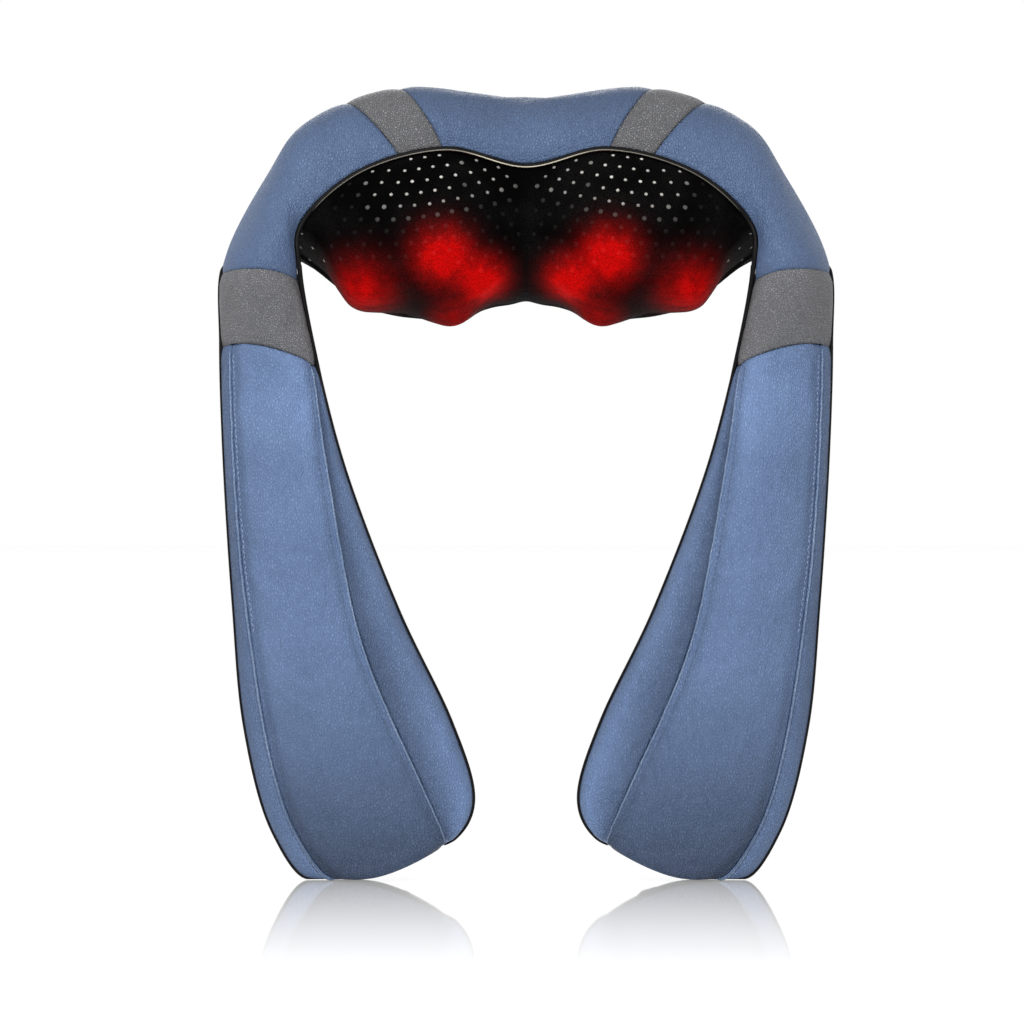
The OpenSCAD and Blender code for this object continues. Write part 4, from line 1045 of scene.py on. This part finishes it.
# How pale a stud is: those of the lower rows and of the ends of the rows are dark, and the middle is uneven
def dotPaleness(row, spot):
    bright = random.uniform(0.6, 1.0)
    if row is not None:
        bright *= 1 / (1 + math.exp((row - dotPlan["paleRows"]) / 0.75))
        bright /= 1 + math.exp((abs(spot[0]) - dotPlan["paleWide"]) / 0.0045)
        bright *= random.uniform(0.35, 1.0) if abs(spot[0]) < dotPlan["unevenWide"] else 1
    return bright


def makeDots():
    tree = panelGrids["perforated_cover"]
    kinds = [([], [], []), ([], [], [])]
    edge = skinAt("lining", np.linspace(-strapForm["coverEnd"], 0, 300), 0)
    for row, spot in coverRows() + list(endSpots(tree)):
        if row is not None and np.linalg.norm(edge - spot, axis=1).min() < dotPlan["edgeRoom"]:
            continue
        bright = dotPaleness(row, spot)
        for side in (1, -1):
            place, normal, face, reach = tree.find_nearest(Vector((spot[0] * side, spot[1], spot[2])))
            if row is not None and normal.z < dotPlan["lowestFacing"]:
                continue
            centres, normals, pale = kinds[0 if bright > dotPlan["paleFrom"] else 1]
            centres.append(np.array(place) - dotPlan["sunk"] * np.array(normal))
            normals.append(np.array(normal))
            pale.append(bright * min(1.0, bright / dotPlan["paleFrom"]) ** 1.5)
    verts, faces, shade = [], [], []
    shapes = (smallDome(*dotPlan["stud"]), smallDome(*dotPlan["boss"]))
    for shape, (centres, normals, pale) in zip(shapes, kinds):
        more, cells = copyAlong(shape, centres, [np.array([1.0, 0, 0])] * len(centres), normals)
        faces += [tuple(len(verts) + i for i in cell) for cell in cells]
        verts += more
        top = np.clip(shape[0][:, 2] / shape[0][:, 2].max() * 1.6 - 0.1, 0, 1)
        shade.append((np.array(pale)[:, None] * top[None, :]).ravel())
    look = {**leatherPlans["blackLeather"], "roughness": 0.4, "shine": 0.05}
    dots = meshPiece("cover_studs", verts, faces, coverMaterial("studLeather", look, 0.72, True))
    paint(dots, "pale", np.concatenate(shade))
    return len(kinds[0][0]) + len(kinds[1][0])


print("cover studs:", makeDots())


# A round cord along a path, with a UV map in metres
def tubePiece(name, path, radius, sides, material, mapRadius=None):
    path = np.asarray(path, float)
    radii = np.broadcast_to(radius, len(path))
    along = toUnit(np.gradient(path, axis=0))
    up = np.cross(along[0], [0, 1, 0]) if abs(along[0][1]) < 0.9 else np.cross(along[0], [1, 0, 0])
    verts = []
    for spot, ahead, r in zip(path, along, radii):
        up = toUnit(up - ahead * np.dot(up, ahead))
        aside = np.cross(ahead, up)
        for k in range(sides):
            turn = 2 * math.pi * k / sides
            verts.append(spot + r * (math.cos(turn) * up + math.sin(turn) * aside))
    faces = []
    for i in range(len(path) - 1):
        below, above = i * sides, (i + 1) * sides
        faces += [(below + k, below + (k + 1) % sides, above + (k + 1) % sides, above + k)
                  for k in range(sides)]
    faces.append(tuple(reversed(range(sides))))
    faces.append(tuple((len(path) - 1) * sides + k for k in range(sides)))
    piece = meshPiece(name, verts, faces, material)
    if mapRadius is not None:
        run = runAlong(path)
        layer = piece.data.uv_layers.new(name="sheet")
        values = [(run[i // sides], (i % sides) / sides * 2 * math.pi * mapRadius)
                  for face in piece.data.polygons for i in face.vertices]
        layer.data.foreach_set("uv", np.array(values, np.float32).ravel())
    return piece, verts


# Piping: glossy cord sewn into the edges, which thins out at the hems
pipingPlan = {"radius": 0.0016, "sides": 14, "steps": 220, "taper": 0.03, "floorRoom": 0.0002,
              "proud": 0.0006, "edges": (("inner", 0.0, 0.0010, -0.0010), ("outer", 1.0, -0.0016, -0.0013))}


def pipingPath(u, t, proud):
    spot = skinAt("leather", u, t)
    return spot + toUnit(spot - ribMiddle(u)) * proud[:, None]


def evenPipingPath(u):
    return pipingPath(u, 0.0, np.full(len(u), pipingPlan["proud"]))


def layPiping(name, node, path, thick):
    piece, verts = tubePiece(name, path, thick, pipingPlan["sides"], finishes["pipingGloss"],
                             pipingPlan["radius"])
    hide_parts(node)


pipeStart = strapForm["bandStart"] - 0.02
coverPipe = evenPipingPath(np.linspace(-pipeStart - 0.04, pipeStart + 0.04, 2 * pipingPlan["steps"]))
layPiping("cover_edge_piping", "cover_piping", coverPipe, pipingPlan["radius"])
run = np.linspace(0, 1, pipingPlan["steps"])
taper = np.sqrt(np.clip((1 - run) / pipingPlan["taper"], 0.02, 1))
for sign, sideName in ((-1, "left"), (1, "right")):
    u = sign * (pipeStart + (strapForm["hem"] - pipeStart) * run)
    for edge, t, proudStart, proudEnd in pipingPlan["edges"]:
        proud = proudStart + (proudEnd - proudStart) * np.clip(run / 0.2, 0, 1) - 0.0016 * (1 - taper)
        path = pipingPath(u, t, proud)
        start = 1 if edge == "inner" else np.sqrt(np.clip(run / 0.02, 0.02, 1))
        thick = pipingPlan["radius"] * (taper * start)
        path[:, 2] = np.maximum(restOnFloor(path[:, 2]), thick + pipingPlan["floorRoom"])
        layPiping(sideName + "_" + edge + "_edge_piping", sideName + "_" + edge + "_piping", path, thick)

# A thin bright bead lies between the cover and its piping as a painted highlight line, and its painted
# highlight dims towards the shoulders
beadPlan = {"radius": 0.00042, "sides": 8, "forward": 0.0010, "inwards": 0.0009, "reach": 3.7, "steps": 420,
            "bright": [(0, 1.0), (0.022, 0.95), (0.04, 0.4), (0.07, 0.22), (0.15, 0.12)]}


def beadMaterial():
    material, tree, shader, output = newMaterial("beadPaintedHighlight", {"Roughness": 0.25})
    grain = useGroup(tree, mouldGrain, {"Vector": readPlace(tree)["Object"], "Scale": 1200.0})
    # Painted highlight: the bead's pale tone, dimmed away from the middle by its painted shading attribute
    tone = blendColours(tree, grain["Patch"], (0.62, 0.55, 0.42), (0.80, 0.74, 0.60))
    setInput(tree, shader["Base Color"], withPaintedShading(tree, tone))
    setInput(tree, shader["Normal"], bumpFrom(tree, grain["Height"], 0.00004))
    return material


def makeBead():
    u = np.linspace(-beadPlan["reach"], beadPlan["reach"], beadPlan["steps"])
    aside = toUnit(skinAt("lining", u, 0.04) - skinAt("leather", u, 0.04))
    path = evenPipingPath(u) + aside * beadPlan["inwards"] + np.array([0, -1, 0]) * beadPlan["forward"]
    bead, verts = tubePiece("cover_edge_bead", path, beadPlan["radius"], beadPlan["sides"], beadMaterial())
    # Painted highlight strength along the bead, strongest in the middle
    paint(bead, "paintedShading", knotValue(beadPlan["bright"], [abs(v[0]) for v in verts]))


makeBead()
print("piping and bead laid")

# Seams: threads sewn along the panels' edges. A row's inset is how far it lies from its seam, in metres.
threadPlan = {
    "outer_seam_thread": {"pitch": 0.0034, "length": 0.0030, "radius": 0.00036, "swing": 0.0007, "stop": 7.3,
                          "seam": outerSeam, "inset": -0.0025, "sheet": "front_leather",
                          "finish": "blueThread"},
    "outer_gusset_thread": {"pitch": 0.0036, "length": 0.0026, "radius": 0.00024, "swing": 0.0, "stop": 10,
                            "seam": outerSeam, "inset": 0.0022, "sheet": "outer_gusset_leather",
                            "finish": "darkThread"},
    "inner_seam_thread": {"pitch": 0.0036, "length": 0.0026, "radius": 0.00028, "swing": 0.0, "stop": 10,
                          "seam": innerSeam, "inset": 0.0058, "sheet": "front_leather",
                          "finish": "darkThread"},
    "inner_gusset_thread": {"pitch": 0.0036, "length": 0.0026, "radius": 0.00024, "swing": 0.0, "stop": 10,
                            "seam": innerSeam, "inset": -0.0026, "sheet": "inner_gusset_leather",
                            "finish": "darkThread"},
}
threadSpan = {"start": 0.04, "end": 0.06, "steps": 300, "margin": 0.004, "sunk": 0.45, "uneven": 0.15}


def seamLine(u, seam, inset):
    t = seam(u)
    return skinAt("leather", u, t + inset / speedAcross("leather", u, t))


def evenPlaces(line, pitch, margin):
    run = runAlong(line)
    spots = np.arange(margin, run[-1] - margin, pitch)
    return np.stack([np.interp(spots, run, line[:, k]) for k in range(3)], 1)


def stitchRow(name, line, tree, plan):
    spots = evenPlaces(line, plan["pitch"], threadSpan["margin"])
    heading = toUnit(np.gradient(spots, axis=0))
    centres, xAxes, zAxes = [], [], []
    for i, spot in enumerate(spots):
        place, normal, face, reach = tree.find_nearest(Vector(spot))
        normal = np.array(normal)
        aside = toUnit(np.cross(normal, heading[i]))
        swing = (1 if i % 2 else -1) * plan["swing"] * 2 / plan["length"]
        loose = random.uniform(1 - threadSpan["uneven"], 1 + threadSpan["uneven"])
        centres.append(np.array(place) + normal * plan["radius"] * threadSpan["sunk"])
        xAxes.append(heading[i] + aside * swing * loose)
        zAxes.append(normal)
    verts, faces = copyAlong(smallCapsule(plan["radius"], plan["length"]), centres, xAxes, zAxes)
    meshPiece(name, verts, faces, finishes[plan["finish"]])


def alongArm(sign, start, end, steps):
    return sign * np.linspace(strapForm["armStart"] + start, strapForm["hem"] - end, steps)


for sign, sideName in ((-1, "left"), (1, "right")):
    u = alongArm(sign, threadSpan["start"], threadSpan["end"], threadSpan["steps"])
    for name, plan in threadPlan.items():
        line = seamLine(u[np.abs(u) < plan["stop"]], plan["seam"], plan["inset"])
        stitchRow(sideName + "_" + name, line, panelGrids[sideName + "_" + plan["sheet"]], plan)
print("seams stitched")

# Welts: the folded edge that stands up along each arm seam. Its paler blue is a painted highlight, darkened
# towards the floor as painted shade.
weltPlan = {"radius": 0.0007, "sides": 8, "steps": 260, "start": 0.03, "end": 0.05, "sunk": 0.35,
            "taperSteps": 6, "floorRoom": 0.0003, "fall": [(0, 0.55), (0.03, 0.7), (0.1, 0.95), (0.34, 1.1)],
            "seams": (("inner_seam_welt", innerSeam, 0.0009, "front_leather"),
                      ("outer_seam_welt", outerSeam, 0.0006, "outer_gusset_leather"))}
# Paler blue leather: a painted highlight along the seams
weltHighlightLeather = leatherMaterial("weltHighlightLeather", {**leatherPlans["blueLeather"], "dark": (0.23, 0.32, 0.49),
                                              "light": (0.31, 0.41, 0.58)})


def layWelt(name, line, tree):
    path = []
    for spot in line:
        place, normal, face, reach = tree.find_nearest(Vector(spot))
        path.append(np.array(place) + np.array(normal) * weltPlan["radius"] * weltPlan["sunk"])
    path = np.array(path)
    path[:, 2] = np.maximum(path[:, 2], weltPlan["radius"] + weltPlan["floorRoom"])
    count = np.arange(len(path))
    thick = weltPlan["radius"] * np.clip(np.minimum(count, count[::-1]) / weltPlan["taperSteps"], 0.3, 1)
    piece, verts = tubePiece(name, path, thick, weltPlan["sides"], weltHighlightLeather, weltPlan["radius"])
    # Painted shade: the welt darkens towards the floor
    paint(piece, "paintedShading", knotValue(weltPlan["fall"], [v[2] for v in verts]))


for sign, sideName in ((-1, "left"), (1, "right")):
    u = alongArm(sign, weltPlan["start"], weltPlan["end"], weltPlan["steps"])
    for name, seam, inset, sheet in weltPlan["seams"]:
        layWelt(sideName + "_" + name, seamLine(u, seam, inset), panelGrids[sideName + "_" + sheet])
print("welts laid")

# Zip: two rows of moulded teeth on the tape, which mesh in its middle
zipPlan = {"pitch": 0.0024, "end": 2.96, "steps": 900, "tooth": (0.0011, 0.0024, 0.0013), "bevel": 0.0003,
           "margin": 0.002, "apart": 0.0009, "sunk": 0.0004}


def makeTooth():
    deselectAll()
    bpy.ops.mesh.primitive_cube_add(size=1)
    tooth = bpy.context.object
    tooth.scale = zipPlan["tooth"]
    bpy.ops.object.transform_apply(location=False, rotation=False, scale=True)
    addModifier(tooth, "BEVEL", width=zipPlan["bevel"], segments=1)
    applyModifiers(tooth)
    return takeShape(tooth, places(tooth))


def layTeeth():
    u = np.linspace(-zipPlan["end"], zipPlan["end"], zipPlan["steps"])
    rim = np.ones(len(u)) - skinStep
    a, b = [skinAt(side, u, 1 - acrossIn(side, u, rim, zipSeat)) for side in ("leather", "lining")]
    across = toUnit(b - a)
    middle = (a + b) / 2
    out = toUnit(middle - ribMiddle(u))
    run = runAlong(middle)
    centres, xAxes, zAxes = [], [], []
    for k, spot in enumerate(np.arange(zipPlan["margin"], run[-1] - zipPlan["margin"], zipPlan["pitch"] / 2)):
        i = int(np.searchsorted(run, spot))
        side = 1 if k % 2 else -1
        centres.append(middle[i] + across[i] * zipPlan["apart"] * side - out[i] * zipPlan["sunk"])
        xAxes.append(toUnit(np.cross(across[i], out[i])))
        zAxes.append(out[i])
    verts, faces = copyAlong(makeTooth(), centres, xAxes, zAxes)
    teeth = meshPiece("zip_teeth", verts, faces, finishes["zipNylon"])
    for face in teeth.data.polygons:
        face.use_smooth = False
    return len(centres)


print("zip teeth:", layTeeth())

# Finishes of the parts that come from the CAD
finishOf = {
    "zipCloth": ["zip_tape"],
    "castZinc": ["zip_slider", "zip_pull"],
    "fillingFoam": ["yoke_foam", "left_arm_foam", "right_arm_foam"],
    "frameNylon": ["front_frame", "rear_casing", "left_head_carrier", "right_head_carrier"],
    "brightSteel": ["casing_screws", "motor_can", "drive_shaft", "left_output_shaft", "right_output_shaft",
                    "charge_socket"],
    "bronze": ["shaft_bushes", "worm_bushes"],
    "blackPlastic": ["motor_cap", "control_bezel"],
    "batteryWrap": ["battery_pack"],
    "boardGreen": ["control_board", "left_led_board", "right_led_board", "keypad_board"],
    "wireInsulation": ["wiring_harness"],
    "gearNylon": ["left_worm_wheel", "right_worm_wheel"],
    "litSilicone": ["left_large_nodes", "right_large_nodes", "left_small_nodes", "right_small_nodes"],
    "clearLens": ["status_lens"],
    "buttonRubber": ["power_button", "heat_button", "direction_button", "speed_button"],
}
for finish, names in finishOf.items():
    for name in names:
        cadNodes[name].data.materials.clear()
        cadNodes[name].data.materials.append(finishes[finish])
print("finishes given to", sum(map(len, finishOf.values())), "CAD nodes")

# Floor, backdrop and lamps
roomPlan = {"floorSize": 60, "floorDrop": 0.0001, "floorTone": 0.35, "floorLift": 0.85, "world": 0.42,
            "mirrorNear": 0.70, "mirrorReach": 0.85, "mirrorFall": 1.3}
lampPlans = {
    "keyLamp": {"place": (-0.3, -1.5, 0.95), "aim": (0, 0, 0.35), "size": (0.9, 0.6), "power": 15},
    "leftLamp": {"place": (-1.2, -1.4, 0.7), "aim": (0, 0, 0.3), "size": (0.5, 1.2), "power": 5},
    "rightLamp": {"place": (1.2, -1.4, 0.7), "aim": (0, 0, 0.3), "size": (0.5, 1.2), "power": 5},
    "backLamp": {"place": (0.0, 1.6, 1.2), "aim": (0, 0, 0.3), "size": (1.2, 0.8), "power": 9},
}


# The background looks white to the camera and in gloss, and lights the object less
def whiteRays(tree):
    rays = tree.nodes.new("ShaderNodeLightPath").outputs
    seen = joinMath(tree, "ADD", rays["Is Camera Ray"], rays["Is Glossy Ray"])
    return joinMath(tree, "ADD", seen, rays["Is Transmission Ray"], clamp=True)


# The floor mirrors the object near it and fades to plain white in front
def floorMaterial():
    tone = (roomPlan["floorTone"],) * 3
    values = {"Base Color": (*tone, 1), "Roughness": 0.6, "Specular IOR Level": 0.0}
    material, tree, shader, output = newMaterial("paleFloor", values)
    plain = output["Surface"].links[0].from_socket
    strength = joinMath(tree, "MULTIPLY", whiteRays(tree), roomPlan["floorLift"])
    lift = addNode(tree, "ShaderNodeEmission", None, {"Color": (1, 1, 1, 1), "Strength": strength})
    both = addNode(tree, "ShaderNodeAddShader", None, {0: plain, 1: lift.outputs[0]})
    mirror = addNode(tree, "ShaderNodeBsdfGlossy", None, {"Roughness": 0.04, "Color": (1, 1, 1, 1)})
    forward = joinMath(tree, "MULTIPLY", splitVector(tree, readPlace(tree)["Object"])["Y"], -1.0)
    away = remap(tree, forward, 0.0, roomPlan["mirrorReach"], 1.0, 0.0, smooth=False)
    fading = joinMath(tree, "POWER", away, roomPlan["mirrorFall"])
    share = joinMath(tree, "MULTIPLY", fading, roomPlan["mirrorNear"])
    mixed = addNode(tree, "ShaderNodeMixShader", None, {0: share, 1: both.outputs[0], 2: mirror.outputs[0]})
    setInput(tree, output["Surface"], mixed.outputs[0])
    return material


def makeFloor():
    deselectAll()
    bpy.ops.mesh.primitive_plane_add(size=roomPlan["floorSize"], location=(0, 0, -roomPlan["floorDrop"]))
    floor = bpy.context.object
    floor.name = "floor"
    bpy.ops.object.transform_apply(location=True, rotation=False, scale=False)
    floor.data.materials.append(floorMaterial())
    floor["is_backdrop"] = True


def makeWorld():
    world = bpy.data.worlds.new("room")
    bpy.context.scene.world = world
    world.use_nodes = True
    tree = world.node_tree
    tree.nodes.clear()
    strength = remap(tree, whiteRays(tree), 0, 1, roomPlan["world"], 1.0, smooth=False)
    light = addNode(tree, "ShaderNodeBackground", None, {"Color": (1, 1, 1, 1), "Strength": strength})
    addNode(tree, "ShaderNodeOutputWorld", None, {"Surface": light.outputs[0]})


def addLamp(name, plan):
    lampData = bpy.data.lights.new(name, "AREA")
    lampData.shape = "RECTANGLE"
    lampData.size, lampData.size_y = plan["size"]
    lampData.energy = plan["power"]
    lamp = bpy.data.objects.new(name, lampData)
    lamp.location = plan["place"]
    lamp.rotation_euler = (Vector(plan["aim"]) - Vector(plan["place"])).to_track_quat("-Z", "Y").to_euler()
    bpy.context.scene.collection.objects.link(lamp)


makeFloor()
makeWorld()
for name, plan in lampPlans.items():
    addLamp(name, plan)
print("room lit")

# Where the measured things are on the strap
pointPlan = {"bandEdge": 0.005, "armBandEdge": 0.04, "hemNotch": 9.97, "seamStart": 5.02, "seamEnd": 9.98,
             "seamSteps": 400, "lowPointWide": 40}


def nearestOn(line, point):
    shown = shownAt(line)
    return shown[int(np.argmin(np.linalg.norm(shown - np.array(point), axis=1)))]


def onStrap(u, t):
    return shownAt(skinAt("leather", np.array([u]), t))[0]


# How far each thing shows from its point
def measurePoints():
    shown = shownAt(np.concatenate([places(piece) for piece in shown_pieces() if piece.type == "MESH"]))
    run = np.linspace(pointPlan["seamStart"], pointPlan["seamEnd"], pointPlan["seamSteps"])
    notch = -pointPlan["hemNotch"]
    low = shownAt(places(cover))
    low = low[np.abs(low[:, 0] - photoPoints["coverLowPoint"][0]) < pointPlan["lowPointWide"]]
    found = {
        "leftSide": (shown[:, 0].min(), None), "rightSide": (shown[:, 0].max(), None),
        "top": (None, shown[:, 1].min()), "bottom": (None, shown[:, 1].max()),
        "pipingMiddle": shownAt(coverPipe[pipingPlan["steps"]])[0],
        "leftBandSeam": onStrap(-strapForm["centreSeam"], pointPlan["bandEdge"]),
        "leftShoulderSeam": onStrap(-strapForm["bandSeam"], pointPlan["bandEdge"]),
        "leftArmBandCorner": onStrap(-strapForm["armStart"], pointPlan["armBandEdge"]),
        "rightArmBandCorner": onStrap(strapForm["armStart"], pointPlan["armBandEdge"]),
        "leftInnerSeam": nearestOn(seamLine(-run, innerSeam, 0), photoPoints["leftInnerSeam"]),
        "rightInnerSeam": nearestOn(seamLine(run, innerSeam, 0), photoPoints["rightInnerSeam"]),
        "leftOuterSeam": nearestOn(seamLine(-run, outerSeam, 0), photoPoints["leftOuterSeam"]),
        "leftHemNotch": onStrap(notch, innerSeam(np.array([notch]))),
        "coverLowPoint": low[int(np.argmax(low[:, 1]))],
        "endStud": shownAt(endStudPlace)[0],
        **{name: shownAt(glowPlaces[name])[0] for name in glowSpread},
    }
    gaps = {name: {axis: None if wanted is None else round(float(at) - wanted, 1)
                   for axis, at, wanted in zip("xy", found[name], point)}
            for name, point in photoPoints.items()}
    return gaps


for name, gap in measurePoints().items():
    print("point", name, gap)
